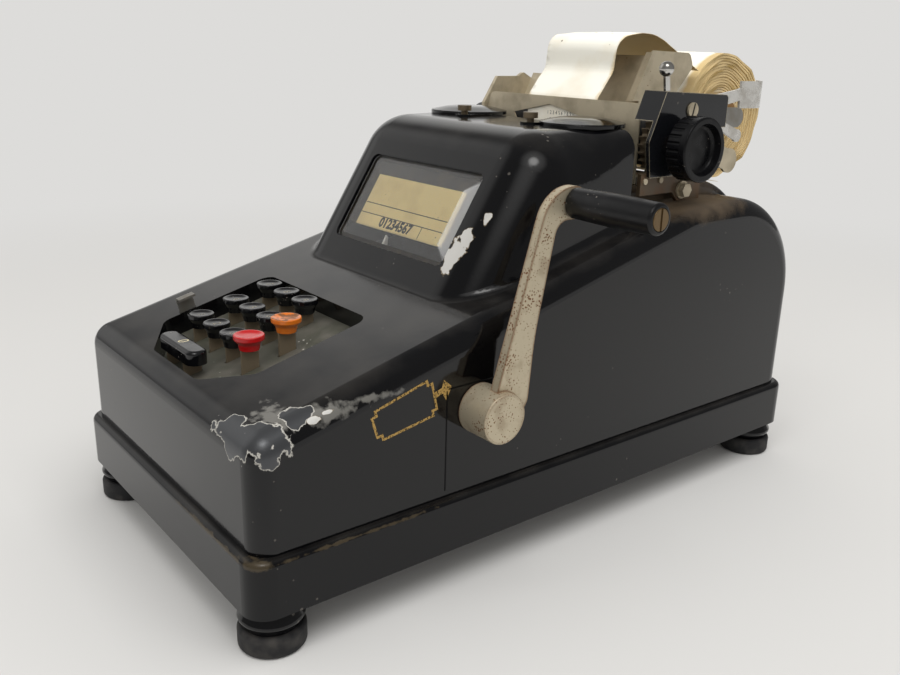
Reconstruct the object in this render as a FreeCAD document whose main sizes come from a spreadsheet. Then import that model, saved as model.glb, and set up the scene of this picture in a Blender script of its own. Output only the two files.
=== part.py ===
import FreeCAD, Part
import math
import os
from types import SimpleNamespace

import Sketcher

# Mechanical ten-key adding machine with a side crank and a paper carriage.
# Millimetres and degrees. +X is the crank side, the keyboard faces -Y and +Z is up. Places are written
# from the middle of the base on the desk, and every piece is then moved by origin_x and origin_y, so
# that the frame's origin lies under the middle of the whole machine.
SIZES = {
    # Frame origin, from the middle of the base
    "origin_x": 29.8,
    "origin_y": 20.75,
    # Fits
    "running_gap": 0.3,
    "shaft_gap": 0.05,
    "press_gap": 0.02,
    # Base and feet
    "base_length": 375.0,
    "base_width": 202.0,
    "base_height": 26.9,
    "base_wall": 7.2,
    "base_corner": 11.5,
    "base_moulding": 3.2,
    "bottom_thickness": 1.5,
    "bottom_inset": 4.0,
    "foot_height": 20.8,
    "foot_radius": 15.0,
    "foot_waist": 12.6,
    "foot_inset": 15.5,
    "pad_height": 10.3,
    "pad_edge": 2.0,
    # Case
    "case_length": 367.2,
    "case_width": 194.4,
    "case_height": 120.3,
    "case_wall": 3.0,
    "case_edge": 10.5,
    "front_height": 50.3,
    "front_edge": 12.0,
    "deck_angle": 14.84,
    "shoulder_bend": 40.0,
    "rear_radius": 60.0,
    "hump_width": 138.0,
    "hump_rise": 8.5,
    "hump_front": 40.0,
    "hump_end": 173.0,
    "hump_edge": 4.0,
    "throat_width": 118.0,
    "throat_front": 38.0,
    "throat_rear": 64.0,
    # Hood and window
    "hood_width": 161.0,
    "hood_rise": 40.0,
    "hood_angle": 57.7,
    "hood_front": -15.2,
    "hood_rear": 45.0,
    "hood_edge": 28.0,
    "hood_rear_edge": 5.0,
    "hood_foot": 6.0,
    "window_width": 98.0,
    "window_height": 51.7,
    "window_corner": 4.0,
    "window_drop": 50.7,
    "glass_recess": 0.3,
    "glass_bevel": 10.0,
    "glass_bevel_depth": 1.6,
    "retainer_lap": 3.0,
    "retainer_width": 6.0,
    "retainer_thickness": 1.5,
    "card_width": 76.6,
    "card_height": 30.4,
    "card_thickness": 0.5,
    "holder_thickness": 1.2,
    # Keyboard, measured along the deck from its middle key
    "keyboard_x": -21.5,
    "keyboard_y": -121.9,
    "well_left": 36.5,
    "well_right": 64.5,
    "well_back": 29.2,
    "well_front": 52.9,
    "well_front_left": 7.4,
    "well_front_right": 43.5,
    "well_cut_left": 31.5,
    "well_cut_right": 43.7,
    "well_corner": 7.0,
    "well_depth": 10.5,
    "well_collar": 2.5,
    "plate_thickness": 1.5,
    "column_pitch": 19.05,
    "row_pitch": 20.6,
    "cap_radius": 6.8,
    "high_cap_radius": 7.4,
    "cap_neck": 5.4,
    "cap_foot": 4.8,
    "cap_height": 7.4,
    "cap_rim": 2.2,
    "cap_dish": 0.8,
    "cap_rise": 3.0,
    "high_cap_rise": 7.0,
    "bar_length": 40.0,
    "bar_width": 10.5,
    "bar_height": 7.0,
    "bar_edge": 2.0,
    "bar_shift": 4.3,
    "bar_stem_span": 20.0,
    "stem_width": 9.0,
    "stem_thickness": 1.2,
    "stem_length": 11.0,
    "tab_width": 9.0,
    "tab_rise": 9.0,
    "tab_lip": 6.0,
    # Inner frames and rods
    "frame_spacing": 168.0,
    "frame_thickness": 2.5,
    "frame_front": 140.0,
    "frame_front_height": 76.0,
    "frame_top": 126.0,
    "frame_peak": 18.0,
    "frame_rear_height": 96.0,
    "tie_radius": 3.0,
    "tie_front": 120.0,
    "tie_rear": 105.0,
    "tie_low": 35.0,
    "tie_high": 85.0,
    "rail_radius": 2.5,
    "rail_spacing": 20.0,
    "rail_y": -25.0,
    "rail_z": 121.0,
    "slider_length": 40.0,
    "slider_depth": 30.0,
    "slider_height": 14.0,
    "slider_x": -11.0,
    "pointer_width": 1.6,
    "pointer_length": 8.0,
    "pointer_thickness": 1.0,
    "pointer_drop": 20.0,
    "arm_width": 6.0,
    # Crank and drive
    "crank_y": -69.0,
    "crank_z": 88.5,
    "shaft_radius": 5.0,
    "shaft_left": 92.0,
    "bush_radius": 8.0,
    "bush_flange": 10.5,
    "bush_flange_width": 2.0,
    "hub_radius": 12.0,
    "hub_length": 18.5,
    "hub_cap": 4.0,
    "arm_thickness": 4.8,
    "arm_front": 4.2,
    "arm_rear": 16.8,
    "arm_neck": 9.8,
    "arm_waist_y": 19.3,
    "arm_waist_z": 35.0,
    "arm_eye": 7.4,
    "arm_edge": 0.8,
    "grip_y": 39.5,
    "grip_z": 93.5,
    "grip_length": 48.0,
    "grip_radius": 6.9,
    "grip_belly": 7.4,
    "grip_pin_radius": 3.0,
    "grip_head_radius": 4.8,
    "grip_head_height": 1.6,
    "screw_slot": 1.2,
    "panel_front": 18.0,
    "panel_rear": 11.0,
    "panel_top": 12.0,
    "panel_hole": 6.5,
    "gear_module": 1.25,
    "gear_teeth": 45,
    "pinion_teeth": 15,
    "gear_width": 6.0,
    "gear_x": 60.0,
    "gear_backlash": 0.25,
    # Gear teeth, in modules
    "tooth_root": 1.3,
    "tooth_sink": 1.6,
    "tooth_foot": 0.95,
    "tooth_tip": 0.38,
    # Counting wheels
    "counter_angle": 12.0,
    "counter_radius": 4.0,
    "wheel_radius": 8.5,
    "wheel_width": 4.0,
    "wheel_pitch": 8.0,
    "wheel_count": 8,
    # Type bars and ribbon
    "type_count": 8,
    "type_pitch": 6.5,
    "type_width": 5.0,
    "type_thickness": 3.0,
    "type_x": -3.5,
    "type_y": 57.5,
    "type_bottom": 118.0,
    "type_top": 203.0,
    "type_bar_height": 6.0,
    "guide_height": 12.0,
    "guide_depth": 4.0,
    "guide_z": 128.0,
    "spool_x": 47.5,
    "spool_y": 39.5,
    "spool_radius": 20.5,
    "spool_height": 13.0,
    "spool_core": 9.0,
    "spool_flange": 1.2,
    "spool_post": 3.0,
    "spool_strip": 2.0,
    "cover_radius": 23.0,
    "cover_height": 4.5,
    "cover_lip": 2.0,
    "cover_wall": 1.2,
    "lug_x": 28.0,
    "lug_y": 20.0,
    "lug_width": 11.0,
    "thumb_radius": 4.0,
    "thumb_height": 3.0,
    "thumb_neck": 2.0,
    "thumb_neck_height": 2.0,
    # Paper carriage
    "platen_y": 80.0,
    "platen_z": 198.0,
    "platen_radius": 12.0,
    "platen_left": 57.0,
    "platen_right": 63.0,
    "platen_shaft": 4.0,
    "collar_radius": 5.4,
    "ratchet_radius": 17.0,
    "ratchet_teeth": 24,
    "ratchet_depth": 2.2,
    "ratchet_width": 3.5,
    "ratchet_stand": 3.5,
    "knob_radius": 17.0,
    "knob_width": 12.5,
    "knob_stand": 6.0,
    "knob_ribs": 28,
    "knob_rib": 1.1,
    "knob_rib_length": 8.3,
    "knob_dish": 12.5,
    "knob_dish_depth": 5.0,
    "left_knob_radius": 14.0,
    "plate_sheet": 2.5,
    "right_plate_x": 77.0,
    "left_plate_x": 61.5,
    "plate_top": 227.0,
    "plate_front": 68.0,
    "plate_rear": 121.5,
    "plate_step": 207.0,
    "plate_nose_y": 57.0,
    "plate_nose_z": 201.0,
    "plate_foot_front": 60.0,
    "plate_foot_rear": 101.0,
    "plate_foot_z": 182.5,
    "flange_width": 12.5,
    "flange_foot": 211.8,
    "left_plate_front": 63.6,
    "left_plate_nose": 213.0,
    "left_plate_top": 229.0,
    "left_plate_rear": 110.0,
    "bracket_front": 56.0,
    "bracket_rear": 107.0,
    "bracket_top": 184.5,
    "bracket_rivet": 1.6,
    "bracket_arch": 5.0,
    "bracket_foot": 19.0,
    "nut_y": 91.0,
    "nut_radius": 4.0,
    "washer_height": 0.9,
    "nut_height": 3.2,
    "bar_section": 4.0,
    "front_bar_y": 66.8,
    "front_bar_z": 177.0,
    "rear_bar_y": 96.0,
    "rear_bar_z": 211.0,
    "shield_thickness": 0.8,
    "shield_top": 220.0,
    "shield_left": 36.0,
    "shield_right": 26.0,
    "shield_peak": 215.5,
    "shield_side": 209.0,
    "shield_low": 203.0,
    "sheet": 1.0,
    "table_lean": 27.4,
    "table_rise": 29.0,
    "table_step": 16.0,
    "table_step_x": 50.0,
    "guide_x": 36.0,
    "guide_front": 91.0,
    "guide_rear": 143.0,
    "guide_top": 246.0,
    "guide_low": 219.0,
    "roll_y": 189.0,
    "roll_z": 207.0,
    "roll_radius": 40.0,
    "roll_bore": 11.0,
    "roll_core": 6.0,
    "roll_play": 0.1,
    "roll_dish": 6.0,
    "roll_side_gap": 6.5,
    "paper_left": 25.0,
    "paper_right": 31.0,
    "paper_thickness": 0.5,
    "paper_feed": 10.3,
    "paper_arch": 22.0,
    "paper_arch_y": 113.0,
    "paper_arch_z": 258.0,
    "roll_arm_height": 13.0,
    "lever_sheet": 1.5,
    "lever_stand": 2.2,
    "pin_radius": 2.0,
    "pin_head": 3.6,
    "plate_screw_y": 90.0,
    "plate_screw_z": 217.0,
    "ball_pin_y": 77.0,
    "ball_pin_z": 213.5,
    "ball_y": 72.8,
    "ball_z": 238.0,
    "ball_radius": 4.0,
    "release_pin_y": 112.0,
    "release_pin_z": 220.0,
    "release_reach": 28.0,
    "release_rise": 4.0,
    "release_tab": 15.0,
    "release_length": 26.0,
    "thin_pin_y": 115.0,
    "thin_pin_z": 211.0,
    "thin_reach": 26.0,
    "thin_drop": 10.0,
    "thin_tip": 3.6,
    "broad_pin_y": 96.0,
    "broad_pin_z": 201.0,
    "broad_reach": 40.0,
    "broad_drop": 14.0,
    "broad_tip": 7.0,
}


class Size:
    """A number and the spreadsheet expression that gives it."""

    def __init__(self, value, text):
        self.value = value
        self.text = text

    def __add__(self, other):
        other = as_size(other)
        return Size(self.value + other.value, f"({self.text} + {other.text})")

    def __radd__(self, other):
        return as_size(other) + self

    def __sub__(self, other):
        other = as_size(other)
        return Size(self.value - other.value, f"({self.text} - {other.text})")

    def __rsub__(self, other):
        return as_size(other) - self

    def __mul__(self, other):
        other = as_size(other)
        return Size(self.value * other.value, f"({self.text} * {other.text})")

    def __rmul__(self, other):
        return as_size(other) * self

    def __truediv__(self, other):
        other = as_size(other)
        return Size(self.value / other.value, f"({self.text} / {other.text})")

    def __rtruediv__(self, other):
        return as_size(other) / self

    def __neg__(self):
        return Size(-self.value, f"(-1 * {self.text})")


def as_size(thing):
    """A plain number as a Size, and a Size as it is."""
    if isinstance(thing, Size):
        return thing
    return Size(float(thing), f"({float(thing):.9g})")


def sine(angle):
    return Size(math.sin(math.radians(angle.value)), f"sin({angle.text})")


def cosine(angle):
    return Size(math.cos(math.radians(angle.value)), f"cos({angle.text})")


def tangent(angle):
    return Size(math.tan(math.radians(angle.value)), f"tan({angle.text})")


doc = FreeCAD.newDocument("AddingMachine")
sheet = doc.addObject("Spreadsheet::Sheet", "Sizes")
for row, (name, number) in enumerate(SIZES.items(), 1):
    sheet.set(f"A{row}", name)
    sheet.set(f"B{row}", str(number))
    sheet.setAlias(f"B{row}", name)
doc.recompute()
dim = SimpleNamespace(**{name: Size(float(number), f"Sizes.{name}") for name, number in SIZES.items()})

X_AXIS = FreeCAD.Vector(1, 0, 0)
# Across is +Y, up is +Z and out is +X
SIDE_ON = FreeCAD.Rotation(FreeCAD.Vector(1, 1, 1), 120)
subparts = {}


def bind(thing, path, length):
    """Tie one property of an object to the sheet."""
    thing.setExpression(path, as_size(length).text)


def stand(thing, spot, tilt=None):
    """Put an object at a spot, tipped back about X by an angle."""
    if tilt is not None:
        thing.Placement = FreeCAD.Placement(FreeCAD.Vector(), FreeCAD.Rotation(X_AXIS, tilt.value))
        bind(thing, "Placement.Rotation.Angle", tilt)
    for letter, length in zip("xyz", spot):
        bind(thing, f"Placement.Base.{letter}", length)


def finish(name, thing, spot=(0, 0, 0), tilt=None):
    """Label a sub-part and move it from the base's middle to the frame's origin."""
    thing.Label = name
    across, along, up = spot
    stand(thing, (across - dim.origin_x, along - dim.origin_y, up), tilt)
    subparts[name] = thing


def finish_moved(name, thing):
    """Label a sub-part whose shape is already in place and move it to the frame's origin."""
    thing.Label = name
    shift = FreeCAD.Placement(FreeCAD.Vector(-dim.origin_x.value, -dim.origin_y.value, 0), FreeCAD.Rotation())
    thing.Placement = shift.multiply(thing.Placement)
    subparts[name] = thing


def pin(sketch, curve, point, across, up):
    """Hold one point of a sketch at its distances from the sketch's origin."""
    for kind, length in (("DistanceX", across), ("DistanceY", up)):
        length = as_size(length)
        index = sketch.addConstraint(Sketcher.Constraint(kind, -1, 1, curve, point, length.value))
        bind(sketch, f"Constraints[{index}]", length)


def circle(sketch, across, up, radius):
    """Add a full circle to a sketch."""
    across, up, radius = as_size(across), as_size(up), as_size(radius)
    middle = FreeCAD.Vector(across.value, up.value, 0)
    curve = sketch.addGeometry(Part.Circle(middle, FreeCAD.Vector(0, 0, 1), radius.value))
    pin(sketch, curve, 3, across, up)
    index = sketch.addConstraint(Sketcher.Constraint("Radius", curve, radius.value))
    bind(sketch, f"Constraints[{index}]", radius)


def rounding(before, corner, after, radius):
    """The tangent points and the arc that round a corner between two straight edges."""
    back = (before - corner).normalize()
    ahead = (after - corner).normalize()
    half = back.getAngle(ahead) / 2
    enter = corner + back * (radius / math.tan(half))
    leave = corner + ahead * (radius / math.tan(half))
    middle = corner + (back + ahead).normalize() * (radius / math.sin(half))
    turns_left = back.cross(ahead).z < 0
    first, last = (enter, leave) if turns_left else (leave, enter)
    start = math.atan2(first.y - middle.y, first.x - middle.x)
    end = math.atan2(last.y - middle.y, last.x - middle.x)
    arc = Part.ArcOfCircle(Part.Circle(middle, FreeCAD.Vector(0, 0, 1), radius), start, end)
    return enter, leave, arc, turns_left


def outline(sketch, corners):
    """Close a loop of straight edges through corners of (across, up) or (across, up, radius)."""
    corners = [tuple(as_size(length) for length in corner) for corner in corners]
    points = [FreeCAD.Vector(corner[0].value, corner[1].value, 0) for corner in corners]
    count = len(corners)
    enters, leaves, arcs = list(points), list(points), {}
    for i, corner in enumerate(corners):
        if len(corner) == 3:
            enters[i], leaves[i], arc, left = rounding(
                points[i - 1], points[i], points[(i + 1) % count], corner[2].value)
            arcs[i] = (sketch.addGeometry(arc), left)
    lines = [sketch.addGeometry(Part.LineSegment(leaves[i], enters[(i + 1) % count])) for i in range(count)]
    for i, corner in enumerate(corners):
        coming, going = lines[i - 1], lines[i]
        if i not in arcs:
            sketch.addConstraint(Sketcher.Constraint("Coincident", coming, 2, going, 1))
            pin(sketch, going, 1, corner[0], corner[1])
            continue
        arc, left = arcs[i]
        arrive, depart = (1, 2) if left else (2, 1)
        sketch.addConstraint(Sketcher.Constraint("Tangent", coming, 2, arc, arrive))
        sketch.addConstraint(Sketcher.Constraint("Tangent", arc, depart, going, 1))
        index = sketch.addConstraint(Sketcher.Constraint("Radius", arc, corner[2].value))
        bind(sketch, f"Constraints[{index}]", corner[2])
        mark = sketch.addGeometry(Part.Point(points[i]), True)
        pin(sketch, mark, 1, corner[0], corner[1])
        sketch.addConstraint(Sketcher.Constraint("PointOnObject", mark, 1, coming))
        sketch.addConstraint(Sketcher.Constraint("PointOnObject", mark, 1, going))


def rectangle(sketch, left, right, low, high, radius=None):
    """Close a rectangle, with rounded corners if a radius is given."""
    corners = [(left, low), (right, low), (right, high), (left, high)]
    outline(sketch, corners if radius is None else [corner + (radius,) for corner in corners])


def loose_sketch(spot=(0, 0, 0), tilt=None, turn=None):
    """A sketch outside any body, flat, tipped about X or turned side on."""
    sketch = doc.addObject("Sketcher::SketchObject", "outline")
    if turn is not None:
        sketch.Placement = FreeCAD.Placement(FreeCAD.Vector(), turn)
    stand(sketch, spot, tilt)
    return sketch


def extruded(sketch, length):
    """A solid drawn out from a loose sketch along its own normal."""
    solid = doc.addObject("Part::Extrusion", "prism")
    solid.Base = sketch
    solid.DirMode = "Normal"
    solid.Solid = True
    solid.FaceMakerClass = "Part::FaceMakerBullseye"
    bind(solid, "LengthFwd", length)
    return solid


def joined(kind, *pieces):
    """A boolean of two solids: Part::Fuse, Part::Cut or Part::Common."""
    result = doc.addObject(kind, "joined")
    result.Base, result.Tool = pieces
    return result


def rounded(solid, picked):
    """Round chosen edges of a solid, each from one radius to another along its length."""
    doc.recompute()
    result = doc.addObject("Part::Fillet", "rounded")
    result.Base = solid
    result.Edges = [(i, *radii) for i, radii in picked(solid.Shape.Edges)]
    return result


def new_body(name):
    return doc.addObject("PartDesign::Body", name)


def sketch_on(body, plane, offset=(0, 0, 0)):
    """A sketch on one of a body's origin planes, moved by an offset in the plane's own directions."""
    sketch = body.newObject("Sketcher::SketchObject", "outline")
    origin = [feature for feature in body.Origin.OriginFeatures if feature.Role == plane][0]
    sketch.AttachmentSupport = [(origin, "")]
    sketch.MapMode = "FlatFace"
    for letter, length in zip("xyz", offset):
        bind(sketch, f"AttachmentOffset.Base.{letter}", length)
    return sketch


def pad(body, sketch, length):
    feature = body.newObject("PartDesign::Pad", "pad")
    feature.Profile = sketch
    bind(feature, "Length", length)
    return feature


def pocket(body, sketch, depth):
    """Cut along the sketch's normal, the way a pad would grow."""
    feature = body.newObject("PartDesign::Pocket", "pocket")
    feature.Profile = sketch
    feature.Reversed = True
    bind(feature, "Length", depth)
    return feature


def turned(body, sketch, axis):
    feature = body.newObject("PartDesign::Revolution", "turned")
    feature.Profile = sketch
    feature.ReferenceAxis = (sketch, [axis])
    feature.Angle = 360
    return feature


def around(body, feature, axis, count):
    """Repeat a feature in a full circle about one of the body's origin axes."""
    pattern = body.newObject("PartDesign::PolarPattern", "around")
    pattern.Originals = [feature]
    origin = [part for part in body.Origin.OriginFeatures if part.Role == axis][0]
    pattern.Axis = (origin, [""])
    pattern.Angle = 360
    bind(pattern, "Occurrences", count)
    body.Tip = pattern
    return pattern


def in_a_row(body, feature, length, count):
    """Repeat a feature along the body's X axis, the last copy a length from the first."""
    doc.recompute()
    pattern = body.newObject("PartDesign::LinearPattern", "row")
    pattern.Originals = [feature]
    pattern.Direction = ([part for part in body.Origin.OriginFeatures if part.Role == "X_Axis"][0], [""])
    bind(pattern, "Length", length)
    bind(pattern, "Occurrences", count)
    body.Tip = pattern


def softened(body, radius, picked):
    """Round the edges of a body's last feature that a test picks."""
    doc.recompute()
    last = body.Tip
    names = [f"Edge{i}" for i, edge in enumerate(last.Shape.Edges, 1) if picked(edge.BoundBox)]
    feature = body.newObject("PartDesign::Fillet", "softened")
    feature.Base = (last, names)
    bind(feature, "Radius", radius)
    return feature


# Heights and places that several pieces share
base_top = dim.foot_height + dim.base_height
case_top = base_top + dim.case_height
case_half = dim.case_width / 2
case_rear = dim.case_length / 2
deck_front = base_top + dim.front_height
hood_top = case_top + dim.hood_rise
hump_top = case_top + dim.hump_rise
frame_half = dim.frame_spacing / 2


def deck_height(along):
    """Height of the sloping deck at a distance along Y."""
    return deck_front + (along + case_rear) * tangent(dim.deck_angle)


def case_side(inset, bottom):
    """Side view of the case: flat front, sloping deck, level shoulder and rounded rear."""
    drop = inset / cosine(dim.deck_angle)
    front = inset - case_rear
    shoulder = (case_top - inset + drop - deck_front) / tangent(dim.deck_angle) - case_rear
    return [
        (front, bottom),
        (case_rear - inset, bottom),
        (case_rear - inset, case_top - inset, dim.rear_radius - inset),
        (shoulder, case_top - inset, dim.shoulder_bend),
        (front, deck_height(front) - drop, dim.front_edge - inset),
    ]


def hood_side(inset, rear):
    """Side view of the hood: slanting window face and level top, with its root inside the case."""
    root = base_top + dim.front_height / 2
    slant = inset / sine(dim.hood_angle)
    reach = (hood_top - root) / tangent(dim.hood_angle)
    lean = inset / tangent(dim.hood_angle)
    return [
        (dim.hood_front - reach + slant, root),
        (rear, root),
        (rear, hood_top - inset),
        (dim.hood_front + slant - lean, hood_top - inset, dim.hood_edge - inset),
    ]


def prism(corners, half_width):
    """A side view drawn out across the machine, as wide on both sides of the middle."""
    sketch = loose_sketch((-half_width, 0, 0), turn=SIDE_ON)
    outline(sketch, corners)
    return extruded(sketch, half_width * 2)


def case_block(inset, bottom):
    """The lower case as a block with rounded long edges."""
    half = case_half - inset
    edge = (dim.case_edge - inset).value

    def long_edges(edges):
        for i, line in enumerate(edges, 1):
            box = line.BoundBox
            flat = box.XLength < 1e-6 and abs(abs(box.XMin) - half.value) < 1e-6
            if flat and box.ZMax > bottom.value + 1e-6:
                yield i, (edge, edge)

    return rounded(prism(case_side(inset, bottom), half), long_edges)


def hood_block(inset, rear):
    """The hood, its side edges wide beside the window and fading to narrow ones at the rear."""
    half = dim.hood_width / 2 - inset
    wide = (dim.hood_edge - inset).value
    narrow = (dim.hood_rear_edge - inset).value

    def side_edges(edges):
        for i, line in enumerate(edges, 1):
            box = line.BoundBox
            if box.XLength > 1e-6 or abs(abs(box.XMin) - half.value) > 1e-6:
                continue
            if box.YLength < 1e-6 or box.ZMax < deck_front.value:
                continue
            if box.ZLength > 1e-6:
                yield i, (wide, wide)
            else:
                rear_first = line.Vertexes[0].Y > line.Vertexes[-1].Y
                yield i, (narrow, wide) if rear_first else (wide, narrow)

    return rounded(prism(hood_side(inset, rear), half), side_edges)


def block(left, right, front, rear, low, high):
    """A plain box between six planes."""
    solid = doc.addObject("Part::Box", "block")
    bind(solid, "Length", as_size(right) - left)
    bind(solid, "Width", as_size(rear) - front)
    bind(solid, "Height", as_size(high) - low)
    stand(solid, (left, front, low))
    return solid


def hooded_case():
    """The outside of the case as one solid: lower case, hood with its hollow foot, and rear hump."""
    lower = case_block(as_size(0), base_top)
    past = dim.hood_rear + dim.hood_foot * 2
    ahead = block(-dim.case_width, dim.case_width, -dim.case_length, past, 0, hood_top * 2)
    mixed = joined("Part::Fuse", joined("Part::Common", lower, ahead), hood_block(as_size(0), past))
    half = dim.hood_width / 2
    doc.recompute()

    def foot_edges(edges):
        for i, line in enumerate(edges, 1):
            middle = line.valueAt((line.FirstParameter + line.LastParameter) / 2)
            on_deck = abs(middle.z - deck_height(as_size(middle.y)).value) < 0.05
            inside = abs(middle.x) < half.value + 0.05 and middle.y < past.value - 0.05
            if on_deck and inside and line.Length > 1:
                yield i, (dim.hood_foot.value, dim.hood_foot.value)

    blended = rounded(mixed, foot_edges)
    front = block(-dim.case_width, dim.case_width, -dim.case_length, dim.hood_rear, 0, hood_top * 2)
    hood = joined("Part::Common", blended, front)
    hump = prism([
        (dim.hump_front, base_top + dim.front_height),
        (dim.hump_end, base_top + dim.front_height),
        (dim.hump_end, hump_top, dim.rear_radius),
        (dim.hump_front, hump_top),
    ], dim.hump_width / 2)

    def hump_edges(edges):
        for i, line in enumerate(edges, 1):
            box = line.BoundBox
            if box.XLength < 1e-6 and box.YLength > 1e-6 and box.ZMax > hump_top.value - 1e-6:
                yield i, (dim.hump_edge.value, dim.hump_edge.value)

    return joined("Part::Fuse", joined("Part::Fuse", lower, hood), rounded(hump, hump_edges))


def well_corners(grow):
    """Outline of the keyboard well along the deck, grown outwards by a wall."""
    def mitre(angle):
        return grow * tangent(angle / 2)

    left = -dim.well_left - grow
    right = dim.well_right + grow
    back = dim.well_back + grow
    front = -dim.well_front - grow
    left_cut = (dim.well_left - dim.well_front_left) * tangent(dim.well_cut_left) - dim.well_front
    right_cut = (dim.well_right - dim.well_front_right) * tangent(dim.well_cut_right) - dim.well_front
    corner = dim.well_corner + grow
    return [
        (-dim.well_front_left - mitre(dim.well_cut_left), front, corner),
        (dim.well_front_right + mitre(dim.well_cut_right), front, corner),
        (right, right_cut - mitre(90 - dim.well_cut_right), corner),
        (right, back, corner),
        (left, back, corner),
        (left, left_cut - mitre(90 - dim.well_cut_left), corner),
    ]


def deck_spot(across, along, lift):
    """A place in the machine from a distance across, along and above the deck at the middle key."""
    rise = sine(dim.deck_angle)
    run = cosine(dim.deck_angle)
    return (
        dim.keyboard_x + across,
        dim.keyboard_y + along * run - lift * rise,
        deck_height(dim.keyboard_y) + along * rise + lift * run,
    )


def window_spot(across, along, lift):
    """A place in the machine from a distance across, up and out of the middle of the window face."""
    rise = sine(dim.hood_angle)
    run = cosine(dim.hood_angle)
    return (
        as_size(across),
        dim.hood_front + (along - dim.window_drop) * run - lift * rise,
        hood_top + (along - dim.window_drop) * rise + lift * run,
    )


def on_deck(corners, low, high):
    """A prism that stands square to the deck."""
    sketch = loose_sketch(deck_spot(0, 0, low), dim.deck_angle)
    outline(sketch, corners)
    return extruded(sketch, high - low)


def make_case_shell():
    """Sheet case with its window, keyboard well, spool holes, type throat and crank slot."""
    wall = dim.case_wall
    shell = joined("Part::Cut", hooded_case(), case_block(wall, base_top - wall))
    behind = dim.hood_rear + dim.hood_foot
    shell = joined("Part::Cut", shell, hood_block(wall, behind))
    collar = on_deck(well_corners(dim.well_collar), -dim.well_depth, -wall / 2)
    shell = joined("Part::Fuse", shell, collar)
    shell = joined("Part::Cut", shell, on_deck(well_corners(as_size(0)), -dim.well_depth - wall, wall))
    half = dim.window_width / 2 + dim.press_gap
    tall = dim.window_height / 2 + dim.press_gap
    pane = loose_sketch(window_spot(0, 0, -wall * 2), dim.hood_angle)
    rectangle(pane, -half, half, -tall, tall, dim.window_corner)
    shell = joined("Part::Cut", shell, extruded(pane, wall * 3))
    throat = dim.throat_width / 2
    low = deck_height(dim.throat_front) - wall * 4
    gap = block(-throat, throat, dim.throat_front, dim.throat_rear, low, hump_top + wall)
    shell = joined("Part::Cut", shell, gap)
    holes = loose_sketch((0, 0, hood_top - wall * 2))
    for side in (-1, 1):
        circle(holes, side * dim.spool_x, dim.spool_y, dim.spool_radius + dim.running_gap * 3)
    shell = joined("Part::Cut", shell, extruded(holes, wall * 3))
    slot = block(case_half - wall * 2, case_half + wall, dim.crank_y - dim.panel_front,
                 dim.crank_y + dim.panel_rear, base_top - wall, dim.crank_z + dim.panel_top)
    shell = joined("Part::Cut", shell, slot)
    groove = dim.stem_thickness / 2 + dim.running_gap
    reach = dim.tab_width / 2 + dim.running_gap
    tab = on_deck([
        (-dim.column_pitch * 2 - groove, -dim.row_pitch - reach),
        (-dim.column_pitch * 2 + groove, -dim.row_pitch - reach),
        (-dim.column_pitch * 2 + groove, -dim.row_pitch + reach),
        (-dim.column_pitch * 2 - groove, -dim.row_pitch + reach),
    ], -dim.well_depth - wall, wall)
    finish("case_shell", joined("Part::Cut", shell, tab))


def make_base_frame():
    """Rim that the case stands on, with a rounded ledge."""
    body = new_body("base_frame")
    half, reach = dim.base_width / 2, dim.base_length / 2
    rim = sketch_on(body, "XY_Plane", (0, 0, dim.foot_height))
    rectangle(rim, -half, half, -reach, reach, dim.base_corner)
    pad(body, rim, dim.base_height)
    softened(body, dim.base_moulding, lambda box: box.ZMin > base_top.value - 1e-6)
    inside = sketch_on(body, "XY_Plane", (0, 0, dim.foot_height))
    wall = dim.base_wall
    rectangle(inside, wall - half, half - wall, wall - reach, reach - wall, dim.base_corner - wall / 2)
    pocket(body, inside, dim.base_height)
    finish("base_frame", body)


def make_bottom_plate():
    body = new_body("bottom_plate")
    half = dim.base_width / 2 - dim.bottom_inset
    reach = dim.base_length / 2 - dim.bottom_inset
    sheet_outline = sketch_on(body, "XY_Plane", (0, 0, dim.foot_height - dim.bottom_thickness))
    rectangle(sheet_outline, -half, half, -reach, reach, dim.base_corner - dim.bottom_inset)
    pad(body, sheet_outline, dim.bottom_thickness)
    finish("bottom_plate", body)


def foot_places():
    """The four corners that the feet stand under."""
    across = dim.base_width / 2 - dim.foot_inset
    along = dim.base_length / 2 - dim.foot_inset
    return [(x * across, y * along) for x in (-1, 1) for y in (-1, 1)]


def make_feet():
    """Four turned cups with a swollen rim, each holding a rubber pad."""
    cups = new_body("foot_cups")
    pads = new_body("foot_pads")
    top = dim.foot_height - dim.bottom_thickness
    swell = (top + dim.pad_height) / 2
    for across, along in foot_places():
        cup = sketch_on(cups, "XZ_Plane", (across, 0, -along))
        outline(cup, [
            (0, dim.pad_height),
            (dim.foot_waist, dim.pad_height),
            (dim.foot_radius, swell, dim.pad_edge),
            (dim.foot_waist, top),
            (0, top),
        ])
        turned(cups, cup, "V_Axis")
        rubber = sketch_on(pads, "XZ_Plane", (across, 0, -along))
        outline(rubber, [
            (0, 0),
            (dim.foot_radius, 0, dim.pad_edge),
            (dim.foot_radius, dim.pad_height, dim.pad_edge),
            (0, dim.pad_height),
        ])
        turned(pads, rubber, "V_Axis")
    finish("foot_cups", cups)
    finish("foot_pads", pads)


def make_side_panel():
    """Loose piece of the case wall that closes the slot under the crank shaft."""
    body = new_body("crank_side_panel")
    gap = dim.press_gap
    face = sketch_on(body, "YZ_Plane", (0, 0, case_half - dim.case_wall))
    rectangle(face, dim.crank_y - dim.panel_front + gap, dim.crank_y + dim.panel_rear - gap,
              base_top, dim.crank_z + dim.panel_top - gap)
    circle(face, dim.crank_y, dim.crank_z, dim.panel_hole)
    pad(body, face, dim.case_wall)
    finish("crank_side_panel", body)


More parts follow.
